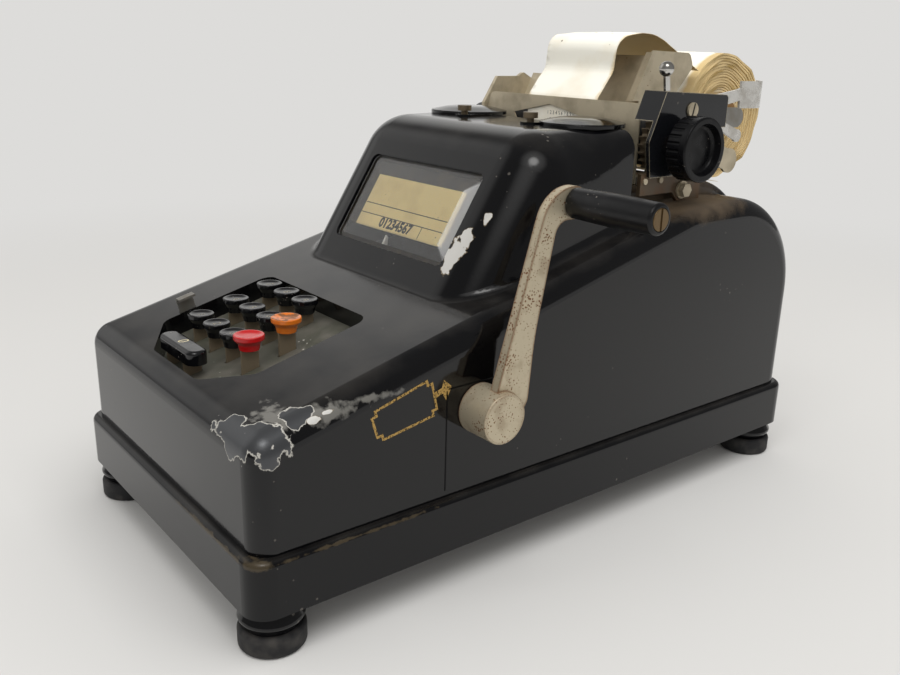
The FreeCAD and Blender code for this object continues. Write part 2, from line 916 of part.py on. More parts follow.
def make_window():
    """Bevelled glass in the hood, the frame behind it and the printed card on its holder."""
    wall = dim.case_wall
    half, tall = dim.window_width / 2, dim.window_height / 2
    glass = new_body("window_glass")
    shoulder = -dim.glass_recess - dim.glass_bevel_depth
    edge = sketch_on(glass, "XY_Plane", (0, 0, -wall))
    rectangle(edge, -half, half, -tall, tall, dim.window_corner)
    pad(glass, edge, shoulder + wall)
    low = sketch_on(glass, "XY_Plane", (0, 0, shoulder))
    rectangle(low, -half, half, -tall, tall, dim.window_corner)
    high = sketch_on(glass, "XY_Plane", (0, 0, -dim.glass_recess))
    bevel = dim.glass_bevel
    rectangle(high, bevel - half, half - bevel, bevel - tall, tall - bevel, dim.window_corner / 4)
    loft = glass.newObject("PartDesign::AdditiveLoft", "bevel")
    loft.Profile = low
    loft.Sections = [high]
    loft.Ruled = True
    finish("window_glass", glass, window_spot(0, 0, 0), dim.hood_angle)

    retainer = new_body("window_retainer")
    ring = sketch_on(retainer, "XY_Plane", (0, 0, -wall - dim.retainer_thickness))
    lap, out = dim.retainer_lap, dim.retainer_width - dim.retainer_lap
    rectangle(ring, -half - out, half + out, -tall - out, tall + out, dim.window_corner)
    rectangle(ring, lap - half, half - lap, lap - tall, tall - lap, dim.window_corner / 2)
    pad(retainer, ring, dim.retainer_thickness)
    back = -wall - dim.retainer_thickness - dim.holder_thickness
    plate = sketch_on(retainer, "XY_Plane", (0, 0, back))
    rectangle(plate, -half - out / 2, half + out / 2, -dim.card_height / 2, tall + out / 2)
    pad(retainer, plate, dim.holder_thickness)
    finish("window_retainer", retainer, window_spot(0, 0, 0), dim.hood_angle)

    card = new_body("window_card")
    paper = sketch_on(card, "XY_Plane", (0, 0, back + dim.holder_thickness))
    rectangle(paper, -dim.card_width / 2, dim.card_width / 2, -dim.card_height / 2, dim.card_height / 2)
    pad(card, paper, dim.card_thickness)
    finish("window_card", card, window_spot(0, 0, 0), dim.hood_angle)


# Keys by name: columns and rows from the middle key, and height of the cap above the deck
DIGIT_KEYS = {
    "key_7": (-1, 1), "key_8": (0, 1), "key_9": (1, 1),
    "key_4": (-1, 0), "key_5": (0, 0), "key_6": (1, 0),
    "key_1": (-1, -1), "key_2": (0, -1), "key_3": (1, -1),
}
HIGH_KEYS = {"key_orange": (2, 0), "key_red": (2, -1)}


def key_spot(across, along, rise):
    """Foot of an upright key whose top stands a rise above the deck."""
    x, y, z = deck_spot(across, along, rise)
    return x, y, z - rise


def stem_spots():
    """Middle of every upright stem's slot across and along the deck."""
    def slot(across, along, rise):
        drop = rise + dim.well_depth + dim.plate_thickness / 2
        return across, along - drop * tangent(dim.deck_angle)

    places = [slot(column * dim.column_pitch, row * dim.row_pitch, dim.cap_rise)
              for column, row in DIGIT_KEYS.values()]
    for column, row in HIGH_KEYS.values():
        places.append(slot(column * dim.column_pitch, row * dim.row_pitch, dim.high_cap_rise))
    for side in (-1, 1):
        across = dim.bar_shift + side * dim.bar_stem_span / 2
        places.append(slot(across, -2 * dim.row_pitch, dim.cap_rise))
    return places


def make_keyboard_plate():
    """Guide plate on the floor of the well, with a slot for every key stem."""
    body = new_body("keyboard_plate")
    low = -dim.well_depth - dim.plate_thickness
    face = sketch_on(body, "XY_Plane", (0, 0, low))
    outline(face, well_corners(dim.well_collar))
    pad(body, face, dim.plate_thickness)
    slant = dim.plate_thickness / 2 * tangent(dim.deck_angle)
    wide = dim.stem_width / 2 / cosine(dim.deck_angle) + slant + dim.running_gap
    thick = dim.stem_thickness / 2 + dim.running_gap
    for across, along in stem_spots():
        slot = sketch_on(body, "XY_Plane", (across, along, low))
        rectangle(slot, -thick, thick, -wide, wide)
        pocket(body, slot, dim.plate_thickness)
    tab_slot = sketch_on(body, "XY_Plane", (-2 * dim.column_pitch, -dim.row_pitch, low))
    reach = dim.tab_width / 2 + dim.running_gap
    rectangle(tab_slot, -thick, thick, -reach, reach)
    pocket(body, tab_slot, dim.plate_thickness)
    finish("keyboard_plate", body, deck_spot(0, 0, 0), dim.deck_angle)


def add_stem(body, across, top):
    """A flat metal strip from inside the cap down through the guide plate."""
    bottom = -dim.well_depth - dim.plate_thickness - dim.stem_length
    stem = sketch_on(body, "XY_Plane", (0, 0, bottom))
    wide, thick = dim.stem_width / 2, dim.stem_thickness / 2
    rectangle(stem, across - thick, across + thick, -wide, wide)
    pad(body, stem, top - bottom)


def make_round_key(name, column, row, rise, radius):
    """Mushroom cap with a dished top on a flat stem."""
    body = new_body(name)
    cap = sketch_on(body, "XZ_Plane")
    outline(cap, [
        (0, rise - dim.cap_height),
        (dim.cap_foot, rise - dim.cap_height),
        (dim.cap_neck, rise - dim.cap_rim * 2, dim.cap_rim),
        (radius, rise - dim.cap_rim, dim.cap_rim / 4),
        (radius, rise, dim.cap_rim / 4),
        (radius - dim.cap_rim / 2, rise),
        (radius / 2, rise - dim.cap_dish, radius),
        (0, rise - dim.cap_dish),
    ])
    turned(body, cap, "V_Axis")
    add_stem(body, as_size(0), rise - dim.cap_rim * 2)
    finish(name, body, key_spot(column * dim.column_pitch, row * dim.row_pitch, rise))


def make_keys():
    for name, (column, row) in DIGIT_KEYS.items():
        make_round_key(name, column, row, dim.cap_rise, dim.cap_radius)
    for name, (column, row) in HIGH_KEYS.items():
        make_round_key(name, column, row, dim.high_cap_rise, dim.high_cap_radius)
    bar = new_body("key_0")
    cap = sketch_on(bar, "XY_Plane", (0, 0, dim.cap_rise - dim.bar_height))
    half, deep = dim.bar_length / 2, dim.bar_width / 2
    rectangle(cap, -half, half, -deep, deep, deep - dim.press_gap)
    pad(bar, cap, dim.bar_height)
    softened(bar, dim.bar_edge, lambda box: box.ZMin > dim.cap_rise.value - 1e-6)
    for side in (-1, 1):
        add_stem(bar, side * dim.bar_stem_span / 2, dim.cap_rise - dim.bar_height / 2)
    finish("key_0", bar, key_spot(dim.bar_shift, -2 * dim.row_pitch, dim.cap_rise))

    tab = new_body("tab_key")
    side = sketch_on(tab, "XZ_Plane", (0, 0, -dim.tab_width / 2))
    thick = dim.stem_thickness / 2
    bottom = -dim.well_depth - dim.plate_thickness - dim.stem_length
    outline(side, [
        (-thick, bottom),
        (thick, bottom),
        (thick, dim.tab_rise - thick * 2, dim.stem_thickness),
        (dim.tab_lip, dim.tab_rise - thick * 2),
        (dim.tab_lip, dim.tab_rise),
        (-thick, dim.tab_rise, dim.stem_thickness * 2),
    ])
    pad(tab, side, dim.tab_width)
    finish("tab_key", tab, deck_spot(-2 * dim.column_pitch, -dim.row_pitch, 0), dim.deck_angle)


def frame_heights():
    """Side view of an inner frame, standing on the bottom plate."""
    floor = dim.foot_height
    return [
        (-dim.frame_front, floor),
        (dim.frame_front, floor),
        (dim.frame_front, floor + dim.frame_rear_height),
        (dim.type_y + dim.frame_peak, floor + dim.frame_top),
        (dim.type_y - dim.frame_peak, floor + dim.frame_top),
        (-dim.frame_front, floor + dim.frame_front_height),
    ]


def counter_spot():
    """Axis of the counting wheels, one gear and pinion radius from the crank shaft."""
    reach = dim.gear_module * (dim.gear_teeth + dim.pinion_teeth) / 2 + dim.gear_backlash
    return (dim.crank_y + reach * cosine(dim.counter_angle), dim.crank_z + reach * sine(dim.counter_angle))


def make_inner_frames():
    """Two steel side plates with bearings, tied by rods and carrying the slider's rails."""
    counter_y, counter_z = counter_spot()
    frames = new_body("inner_frames")
    for side in (-1, 1):
        face = sketch_on(frames, "YZ_Plane", (0, 0, side * frame_half - dim.frame_thickness / 2))
        outline(face, frame_heights())
        circle(face, dim.crank_y, dim.crank_z, dim.bush_radius + dim.press_gap)
        circle(face, counter_y, counter_z, dim.counter_radius + dim.shaft_gap)
        pad(frames, face, dim.frame_thickness)
    finish("inner_frames", frames)

    inner = frame_half - dim.frame_thickness / 2
    ties = new_body("frame_rods")
    rods = sketch_on(ties, "YZ_Plane", (0, 0, -inner))
    floor = dim.foot_height
    circle(rods, -dim.tie_front, floor + dim.tie_low, dim.tie_radius)
    for up in (dim.tie_low, dim.tie_high):
        circle(rods, dim.tie_rear, floor + up, dim.tie_radius)
    for side in (-1, 1):
        circle(rods, dim.rail_y + side * dim.rail_spacing / 2, dim.rail_z, dim.rail_radius)
    pad(ties, rods, inner * 2)
    finish("frame_rods", ties)

    bushes = new_body("crank_bushes")
    for side in (-1, 1):
        flange_start = inner - dim.bush_flange_width if side > 0 else -inner
        sleeve_start = inner if side > 0 else -inner - dim.frame_thickness
        flange = sketch_on(bushes, "YZ_Plane", (0, 0, flange_start))
        circle(flange, dim.crank_y, dim.crank_z, dim.bush_flange)
        circle(flange, dim.crank_y, dim.crank_z, dim.shaft_radius + dim.shaft_gap)
        pad(bushes, flange, dim.bush_flange_width)
        sleeve = sketch_on(bushes, "YZ_Plane", (0, 0, sleeve_start))
        circle(sleeve, dim.crank_y, dim.crank_z, dim.bush_radius)
        circle(sleeve, dim.crank_y, dim.crank_z, dim.shaft_radius + dim.shaft_gap)
        pad(bushes, sleeve, dim.frame_thickness)
    finish("crank_bushes", bushes)


def make_slider():
    """Stop slider on its two rails, with the white pointer that shows behind the window."""
    body = new_body("stop_slider")
    left = dim.slider_x - dim.slider_length / 2
    side = sketch_on(body, "YZ_Plane", (0, 0, left))
    rectangle(side, dim.rail_y - dim.slider_depth / 2, dim.rail_y + dim.slider_depth / 2,
              dim.rail_z - dim.slider_height / 2, dim.rail_z + dim.slider_height / 2)
    for way in (-1, 1):
        circle(side, dim.rail_y + way * dim.rail_spacing / 2, dim.rail_z, dim.rail_radius + dim.shaft_gap)
    pad(body, side, dim.slider_length)
    back = -dim.case_wall - dim.retainer_thickness - dim.holder_thickness
    _, tip_y, tip_z = window_spot(0, -dim.pointer_drop, back - dim.pointer_thickness)
    arm = sketch_on(body, "YZ_Plane", (0, 0, dim.slider_x - dim.pointer_width / 2))
    rise = dim.pointer_length / 2 * sine(dim.hood_angle)
    run = dim.pointer_length / 2 * cosine(dim.hood_angle)
    thick_y = dim.pointer_thickness * sine(dim.hood_angle)
    thick_z = dim.pointer_thickness * cosine(dim.hood_angle)
    root_y = dim.rail_y - dim.slider_depth / 2
    root_z = dim.rail_z + dim.slider_height / 2 - dim.pointer_thickness
    outline(arm, [
        (root_y, root_z),
        (root_y + dim.arm_width, root_z),
        (tip_y - run + thick_y * 4, tip_z - rise - thick_z * 4),
        (tip_y + run + thick_y, tip_z + rise - thick_z),
        (tip_y + run, tip_z + rise),
        (tip_y - run, tip_z - rise),
    ])
    pad(body, arm, dim.pointer_width)
    finish("stop_slider", body)


def add_teeth(body, radius, start, width, count, phase):
    """Straight-sided gear teeth round a disc whose axis is the body's X axis, the first at an angle."""
    module = dim.gear_module
    tooth = sketch_on(body, "YZ_Plane", (0, 0, start))
    tooth.AttachmentOffset = FreeCAD.Placement(
        FreeCAD.Vector(0, 0, as_size(start).value), FreeCAD.Rotation(FreeCAD.Vector(0, 0, 1), phase.value))
    bind(tooth, "AttachmentOffset.Rotation.Angle", phase)
    outline(tooth, [
        (radius - module * dim.tooth_sink, -module * dim.tooth_foot),
        (radius + module, -module * dim.tooth_tip),
        (radius + module, module * dim.tooth_tip),
        (radius - module * dim.tooth_sink, module * dim.tooth_foot),
    ])
    around(body, pad(body, tooth, width), "X_Axis", count)


def make_crank_shaft():
    """Crank shaft through both frames, and the gear on it that drives the counting wheels."""
    shaft = new_body("crank_shaft")
    rod = sketch_on(shaft, "YZ_Plane", (0, 0, -dim.shaft_left))
    circle(rod, 0, 0, dim.shaft_radius)
    pad(shaft, rod, dim.shaft_left + case_half + dim.running_gap + dim.hub_length - dim.hub_cap)
    finish("crank_shaft", shaft, (0, dim.crank_y, dim.crank_z))

    gear = new_body("drive_gear")
    pitch = dim.gear_module * dim.gear_teeth / 2
    disc = sketch_on(gear, "YZ_Plane", (0, 0, dim.gear_x))
    circle(disc, 0, 0, pitch - dim.gear_module * dim.tooth_root)
    circle(disc, 0, 0, dim.shaft_radius + dim.press_gap)
    pad(gear, disc, dim.gear_width)
    gap = dim.counter_angle + 180 / dim.gear_teeth
    add_teeth(gear, pitch, dim.gear_x, dim.gear_width, dim.gear_teeth, gap)
    finish("drive_gear", gear, (0, dim.crank_y, dim.crank_z))


def make_counter():
    """Row of counting wheels on one shaft, with the pinion that the drive gear turns."""
    body = new_body("counting_wheels")
    half = frame_half + dim.frame_thickness
    rod = sketch_on(body, "YZ_Plane", (0, 0, -half))
    circle(rod, 0, 0, dim.counter_radius)
    pad(body, rod, half * 2)
    wheel = sketch_on(body, "YZ_Plane", (0, 0, dim.slider_x - dim.wheel_pitch * (dim.wheel_count - 1) / 2))
    circle(wheel, 0, 0, dim.wheel_radius)
    first = pad(body, wheel, dim.wheel_width)
    in_a_row(body, first, dim.wheel_pitch * (dim.wheel_count - 1), dim.wheel_count)
    pitch = dim.gear_module * dim.pinion_teeth / 2
    disc = sketch_on(body, "YZ_Plane", (0, 0, dim.gear_x))
    circle(disc, 0, 0, pitch - dim.gear_module * dim.tooth_root)
    pad(body, disc, dim.gear_width)
    add_teeth(body, pitch, dim.gear_x, dim.gear_width, dim.pinion_teeth, dim.counter_angle + 180)
    along, up = counter_spot()
    finish("counting_wheels", body, (0, along, up))


def make_crank():
    """Cranked arm with its round hub, and the grip that spins on a slotted pin."""
    body = new_body("crank_arm")
    start = case_half + dim.running_gap
    hub = sketch_on(body, "XZ_Plane")
    outline(hub, [
        (start, dim.shaft_radius + dim.press_gap),
        (start, dim.hub_radius),
        (start + dim.hub_length, dim.hub_radius, dim.arm_edge),
        (start + dim.hub_length, 0),
        (start + dim.hub_length - dim.hub_cap, 0),
        (start + dim.hub_length - dim.hub_cap, dim.shaft_radius + dim.press_gap),
    ])
    turned(body, hub, "H_Axis")
    arm_start = start + dim.hub_length - dim.hub_cap - dim.arm_thickness
    arm = sketch_on(body, "YZ_Plane", (0, 0, arm_start))
    eye = dim.arm_eye
    low = dim.hub_radius / 3
    outline(arm, [
        (-dim.arm_front, low),
        (dim.grip_y - eye * 2, dim.grip_z + eye, eye * 2.5),
        (dim.grip_y + eye, dim.grip_z + eye, eye - dim.press_gap),
        (dim.grip_y + eye, dim.grip_z - eye, eye - dim.press_gap),
        (dim.grip_y - dim.arm_neck, dim.grip_z - eye, eye),
        (dim.arm_waist_y, dim.arm_waist_z, dim.arm_waist_z * 4),
        (dim.arm_rear, low, eye),
        (low * 2, -low * 2),
    ])
    pad(body, arm, dim.arm_thickness)
    hole = sketch_on(body, "YZ_Plane", (0, 0, arm_start))
    circle(hole, dim.grip_y, dim.grip_z, dim.grip_pin_radius + dim.press_gap)
    pocket(body, hole, dim.arm_thickness)
    bore = sketch_on(body, "YZ_Plane", (0, 0, start))
    circle(bore, 0, 0, dim.shaft_radius + dim.press_gap)
    pocket(body, bore, dim.hub_length - dim.hub_cap)
    spot = (0, dim.crank_y, dim.crank_z)
    finish("crank_arm", body, spot)

    grip_spot = (0, dim.crank_y + dim.grip_y, dim.crank_z + dim.grip_z)
    first = arm_start + dim.arm_thickness + dim.running_gap
    last = first + dim.grip_length
    bore_radius = dim.grip_pin_radius + dim.shaft_gap
    grip = new_body("crank_grip")
    barrel = sketch_on(grip, "XZ_Plane")
    outline(barrel, [
        (first, bore_radius),
        (first, dim.grip_radius, dim.arm_edge),
        ((first + last) / 2, dim.grip_belly, dim.grip_length * 2),
        (last, dim.grip_radius, dim.arm_edge * 2),
        (last, dim.grip_head_radius + dim.running_gap),
        (last - dim.grip_head_height, dim.grip_head_radius + dim.running_gap),
        (last - dim.grip_head_height, bore_radius),
    ])
    turned(grip, barrel, "H_Axis")
    finish("crank_grip", grip, grip_spot)

    pin_body = new_body("grip_pin")
    shank = sketch_on(pin_body, "XZ_Plane")
    seat = last - dim.grip_head_height + dim.running_gap
    top = seat + dim.grip_head_height
    outline(shank, [
        (arm_start, 0),
        (arm_start, dim.grip_pin_radius),
        (seat, dim.grip_pin_radius),
        (seat, dim.grip_head_radius),
        (top, dim.grip_head_radius, dim.arm_edge / 2),
        (top, 0),
    ])
    turned(pin_body, shank, "H_Axis")
    slot = sketch_on(pin_body, "YZ_Plane", (0, 0, top - dim.screw_slot / 2))
    wide = dim.screw_slot / 2
    rectangle(slot, -wide, wide, -dim.grip_head_radius * 2, dim.grip_head_radius * 2)
    pocket(pin_body, slot, dim.screw_slot)
    finish("grip_pin", pin_body, grip_spot)


def make_type_bars():
    """Rank of type bars that rise behind the hood, and the bar that guides them."""
    body = new_body("type_bars")
    reach = dim.type_pitch * (dim.type_count - 1) / 2
    half = dim.type_width / 2
    foot = sketch_on(body, "XZ_Plane", (0, 0, -dim.type_y))
    rectangle(foot, dim.type_x - reach - half, dim.type_x + reach + half,
              dim.type_bottom, dim.type_bottom + dim.type_bar_height)
    pad(body, foot, dim.type_thickness)
    bar = sketch_on(body, "XZ_Plane", (0, 0, -dim.type_y))
    rectangle(bar, dim.type_x - reach - half, dim.type_x - reach + half, dim.type_bottom, dim.type_top)
    in_a_row(body, pad(body, bar, dim.type_thickness), reach * 2, dim.type_count)
    finish("type_bars", body)

    inner = frame_half - dim.frame_thickness / 2
    guide = new_body("type_guide")
    side = sketch_on(guide, "YZ_Plane", (0, 0, -inner))
    front = dim.type_y + dim.running_gap
    rectangle(side, front, front + dim.guide_depth, dim.guide_z, dim.guide_z + dim.guide_height)
    pad(guide, side, inner * 2)
    finish("type_guide", guide)


def make_spools():
    """Ribbon spools in the hood's top, their domed covers and the thumb screws that hold them."""
    low = hood_top - dim.spool_height
    for name, side in (("ribbon_spool_left", -1), ("ribbon_spool_right", 1)):
        body = new_body(name)
        half = sketch_on(body, "XZ_Plane")
        top = dim.spool_height - dim.running_gap
        outline(half, [
            (dim.spool_post + dim.shaft_gap, 0),
            (dim.spool_radius, 0),
            (dim.spool_radius, dim.spool_flange),
            (dim.spool_core, dim.spool_flange),
            (dim.spool_core, top - dim.spool_flange),
            (dim.spool_radius, top - dim.spool_flange),
            (dim.spool_radius, top),
            (dim.spool_post + dim.shaft_gap, top),
        ])
        turned(body, half, "V_Axis")
        finish(name, body, (side * dim.spool_x, dim.spool_y, low))

    cover = new_body("spool_covers")
    screws = new_body("cover_screws")
    deck = sketch_on(cover, "XY_Plane", (0, 0, hood_top))
    for side in (-1, 1):
        dome = sketch_on(cover, "XZ_Plane", (side * dim.spool_x, hood_top, -dim.spool_y))
        outline(dome, [
            (0, 0),
            (dim.cover_radius, 0),
            (dim.cover_radius, dim.cover_lip, dim.cover_wall / 2),
            (dim.cover_radius / 2, dim.cover_height, dim.cover_radius * 2),
            (0, dim.cover_height),
        ])
        turned(cover, dome, "V_Axis")
        knob = sketch_on(screws, "XY_Plane", (0, 0, hood_top + dim.cover_wall))
        circle(knob, side * dim.lug_x, dim.lug_y, dim.thumb_neck)
        pad(screws, knob, dim.thumb_neck_height)
        head = sketch_on(screws, "XY_Plane", (0, 0, hood_top + dim.cover_wall + dim.thumb_neck_height))
        circle(head, side * dim.lug_x, dim.lug_y, dim.thumb_radius)
        pad(screws, head, dim.thumb_height)
    half = dim.lug_width / 2
    for side in (-1, 1):
        near = side * (dim.lug_x - half)
        far = side * (dim.lug_x + half)
        left, right = (near, far) if side > 0 else (far, near)
        rectangle(deck, left, right, dim.lug_y - half, dim.spool_y, half - dim.press_gap)
    pad(cover, deck, dim.cover_wall)
    finish("spool_covers", cover)
    finish("cover_screws", screws)


def make_spool_bracket():
    """Strip across the hood that carries the two spool posts."""
    body = new_body("spool_bracket")
    reach = dim.hood_width / 2 - dim.case_wall
    low = hood_top - dim.spool_height - dim.running_gap - dim.spool_strip
    strip = sketch_on(body, "XY_Plane", (0, 0, low))
    rectangle(strip, -reach, reach, dim.spool_y - dim.spool_post, dim.hood_rear)
    pad(body, strip, dim.spool_strip)
    posts = sketch_on(body, "XY_Plane", (0, 0, low))
    for side in (-1, 1):
        circle(posts, side * dim.spool_x, dim.spool_y, dim.spool_post)
    pad(body, posts, dim.spool_strip + dim.spool_height - dim.running_gap)
    finish("spool_bracket", body)


right_outer = dim.right_plate_x + dim.plate_sheet
left_outer = -dim.left_plate_x - dim.plate_sheet
platen_spot = (0, dim.platen_y, dim.platen_z)


def make_platen():
    """Rubber roller, its shaft with a collar, and the toothed wheel beside it."""
    bore = dim.platen_shaft + dim.press_gap
    roller = new_body("platen_roller")
    tube = sketch_on(roller, "YZ_Plane", (0, 0, -dim.platen_left))
    circle(tube, 0, 0, dim.platen_radius)
    circle(tube, 0, 0, bore)
    pad(roller, tube, dim.platen_left + dim.platen_right)
    finish("platen_roller", roller, platen_spot)

    shaft = new_body("platen_shaft")
    rod = sketch_on(shaft, "XZ_Plane")
    outline(rod, [
        (left_outer - dim.knob_stand - dim.knob_width / 2, 0),
        (left_outer - dim.knob_stand - dim.knob_width / 2, dim.platen_shaft),
        (right_outer + dim.running_gap, dim.platen_shaft),
        (right_outer + dim.running_gap, dim.collar_radius),
        (right_outer + dim.knob_stand, dim.collar_radius),
        (right_outer + dim.knob_stand, dim.platen_shaft),
        (right_outer + dim.knob_stand + dim.knob_width / 2, dim.platen_shaft),
        (right_outer + dim.knob_stand + dim.knob_width / 2, 0),
    ])
    turned(shaft, rod, "H_Axis")
    finish("platen_shaft", shaft, platen_spot)

    wheel = new_body("ratchet_wheel")
    disc = sketch_on(wheel, "YZ_Plane", (0, 0, dim.platen_right + dim.ratchet_stand))
    circle(disc, 0, 0, dim.ratchet_radius - dim.ratchet_depth)
    circle(disc, 0, 0, bore)
    pad(wheel, disc, dim.ratchet_width)
    tooth = sketch_on(wheel, "YZ_Plane", (0, 0, dim.platen_right + dim.ratchet_stand))
    low = dim.ratchet_radius - dim.ratchet_depth * 1.3
    outline(tooth, [
        (low, -dim.ratchet_depth / 2),
        (dim.ratchet_radius, -dim.ratchet_depth / 2),
        (dim.ratchet_radius, -dim.ratchet_depth / 4),
        (low, dim.ratchet_depth * 0.7),
    ])
    around(wheel, pad(wheel, tooth, dim.ratchet_width), "X_Axis", dim.ratchet_teeth)
    finish("ratchet_wheel", wheel, platen_spot)


def make_knobs():
    """Ribbed right knob with a dished face, and a plain one on the left."""
    bore = dim.platen_shaft + dim.press_gap
    first = right_outer + dim.knob_stand
    last = first + dim.knob_width
    right = new_body("platen_knob_right")
    half = sketch_on(right, "XZ_Plane")
    outline(half, [
        (first, bore),
        (first, dim.knob_radius, dim.knob_rib),
        (last, dim.knob_radius, dim.knob_rib),
        (last, dim.knob_dish + dim.knob_rib),
        (last - dim.knob_dish_depth, dim.knob_dish, dim.knob_rib * 2),
        (last - dim.knob_dish_depth, 0),
        (first + dim.knob_width / 2, 0),
        (first + dim.knob_width / 2, bore),
    ])
    turned(right, half, "H_Axis")
    notch = sketch_on(right, "YZ_Plane", (0, 0, first - dim.knob_rib))
    circle(notch, dim.knob_radius + dim.knob_rib / 3, 0, dim.knob_rib)
    around(right, pocket(right, notch, dim.knob_rib_length + dim.knob_rib), "X_Axis", dim.knob_ribs)
    finish("platen_knob_right", right, platen_spot)

    left = new_body("platen_knob_left")
    near = left_outer - dim.knob_stand
    plain = sketch_on(left, "XZ_Plane")
    outline(plain, [
        (near, bore),
        (near - dim.knob_width / 2, bore),
        (near - dim.knob_width / 2, 0),
        (near - dim.knob_width, 0),
        (near - dim.knob_width, dim.left_knob_radius, dim.knob_rib * 2),
        (near, dim.left_knob_radius, dim.knob_rib),
    ])
    turned(left, plain, "H_Axis")
    finish("platen_knob_left", left, platen_spot)


def make_end_plates():
    """Plates at both ends of the carriage that hold the platen, and the bracket under the right one."""
    hole = dim.platen_shaft + dim.shaft_gap
    right = new_body("end_plate_right")
    face = sketch_on(right, "YZ_Plane", (0, 0, dim.right_plate_x))
    corner = dim.plate_sheet
    outline(face, [
        (dim.plate_foot_front, dim.plate_foot_z),
        (dim.plate_foot_rear, dim.plate_foot_z),
        (dim.plate_foot_rear + corner, dim.plate_step),
        (dim.plate_rear, dim.plate_step),
        (dim.plate_rear, dim.plate_top - corner, corner),
        (dim.plate_front, dim.plate_top),
        (dim.plate_nose_y, dim.plate_nose_z),
    ])
    circle(face, dim.platen_y, dim.platen_z, hole)
    pad(right, face, dim.plate_sheet)
    flange = sketch_on(right, "YZ_Plane", (0, 0, dim.right_plate_x - dim.flange_width))
    lean = (dim.plate_front - dim.plate_nose_y) / (dim.plate_top - dim.plate_nose_z)
    flange_y = dim.plate_nose_y + (dim.flange_foot - dim.plate_nose_z) * lean
    outline(flange, [
        (flange_y, dim.flange_foot),
        (flange_y + dim.plate_sheet, dim.flange_foot),
        (dim.plate_front + dim.plate_sheet, dim.plate_top),
        (dim.plate_front, dim.plate_top),
    ])
    pad(right, flange, dim.flange_width + dim.plate_sheet / 2)
    finish("end_plate_right", right)

    left = new_body("end_plate_left")
    panel = sketch_on(left, "YZ_Plane", (0, 0, left_outer))
    outline(panel, [
        (dim.plate_foot_front, hump_top),
        (dim.plate_foot_rear, hump_top),
        (dim.left_plate_rear, dim.plate_step),
        (dim.left_plate_rear, dim.plate_top - dim.plate_sheet),
        (dim.rear_bar_y, dim.left_plate_top + dim.plate_sheet, dim.plate_sheet),
        (dim.platen_y + dim.platen_radius, dim.left_plate_top),
        (dim.platen_y - dim.platen_radius / 2, dim.left_plate_top),
        (dim.left_plate_front, dim.left_plate_nose),
    ])
    circle(panel, dim.platen_y, dim.platen_z, hole)
    pad(left, panel, dim.plate_sheet)
    finish("end_plate_left", left)

    bracket = new_body("carriage_bracket")
    strip = sketch_on(bracket, "YZ_Plane", (0, 0, dim.right_plate_x - dim.plate_sheet))
    foot = dim.bracket_rear - dim.bracket_foot
    outline(strip, [
        (dim.bracket_front, case_top + dim.bracket_arch),
        (foot - dim.bracket_arch, case_top + dim.bracket_arch),
        (foot, case_top),
        (dim.bracket_rear, case_top),
        (dim.bracket_rear, dim.bracket_top),
        (dim.bracket_front, dim.bracket_top),
    ])
    pad(bracket, strip, dim.plate_sheet)
    finish("carriage_bracket", bracket)


def make_carriage_bars():
    """Two square bars that tie the end plates, and the ribbon shield on the front one."""
    body = new_body("carriage_bars")
    size = dim.bar_section
    front = sketch_on(body, "YZ_Plane", (0, 0, -dim.left_plate_x))
    rectangle(front, dim.front_bar_y, dim.front_bar_y + size, dim.front_bar_z, dim.front_bar_z + size)
    pad(body, front, dim.left_plate_x + dim.right_plate_x - dim.plate_sheet)
    rear = sketch_on(body, "YZ_Plane", (0, 0, -dim.left_plate_x))
    rectangle(rear, dim.rear_bar_y, dim.rear_bar_y + size, dim.rear_bar_z, dim.rear_bar_z + size)
    pad(body, rear, dim.left_plate_x + dim.right_plate_x)
    finish("carriage_bars", body)

    shield = new_body("ribbon_shield")
    face = sketch_on(shield, "XZ_Plane", (0, 0, -dim.front_bar_y))
    right = dim.right_plate_x - dim.flange_width - dim.running_gap
    corner = dim.bar_section
    outline(face, [
        (-dim.left_plate_x, dim.front_bar_z),
        (right, dim.front_bar_z),
        (right, dim.shield_top, corner / 2),
        (corner - dim.left_plate_x, dim.shield_top, corner),
        (-dim.left_plate_x, dim.shield_side),
    ])
    middle = (dim.shield_right - dim.shield_left) / 2
    outline(face, [
        (-dim.shield_left + corner, dim.shield_low),
        (dim.shield_right - corner, dim.shield_low),
        (dim.shield_right, dim.shield_side),
        (middle, dim.shield_peak),
        (-dim.shield_left, dim.shield_side),
    ])
    pad(shield, face, dim.shield_thickness)
    finish("ribbon_shield", shield)


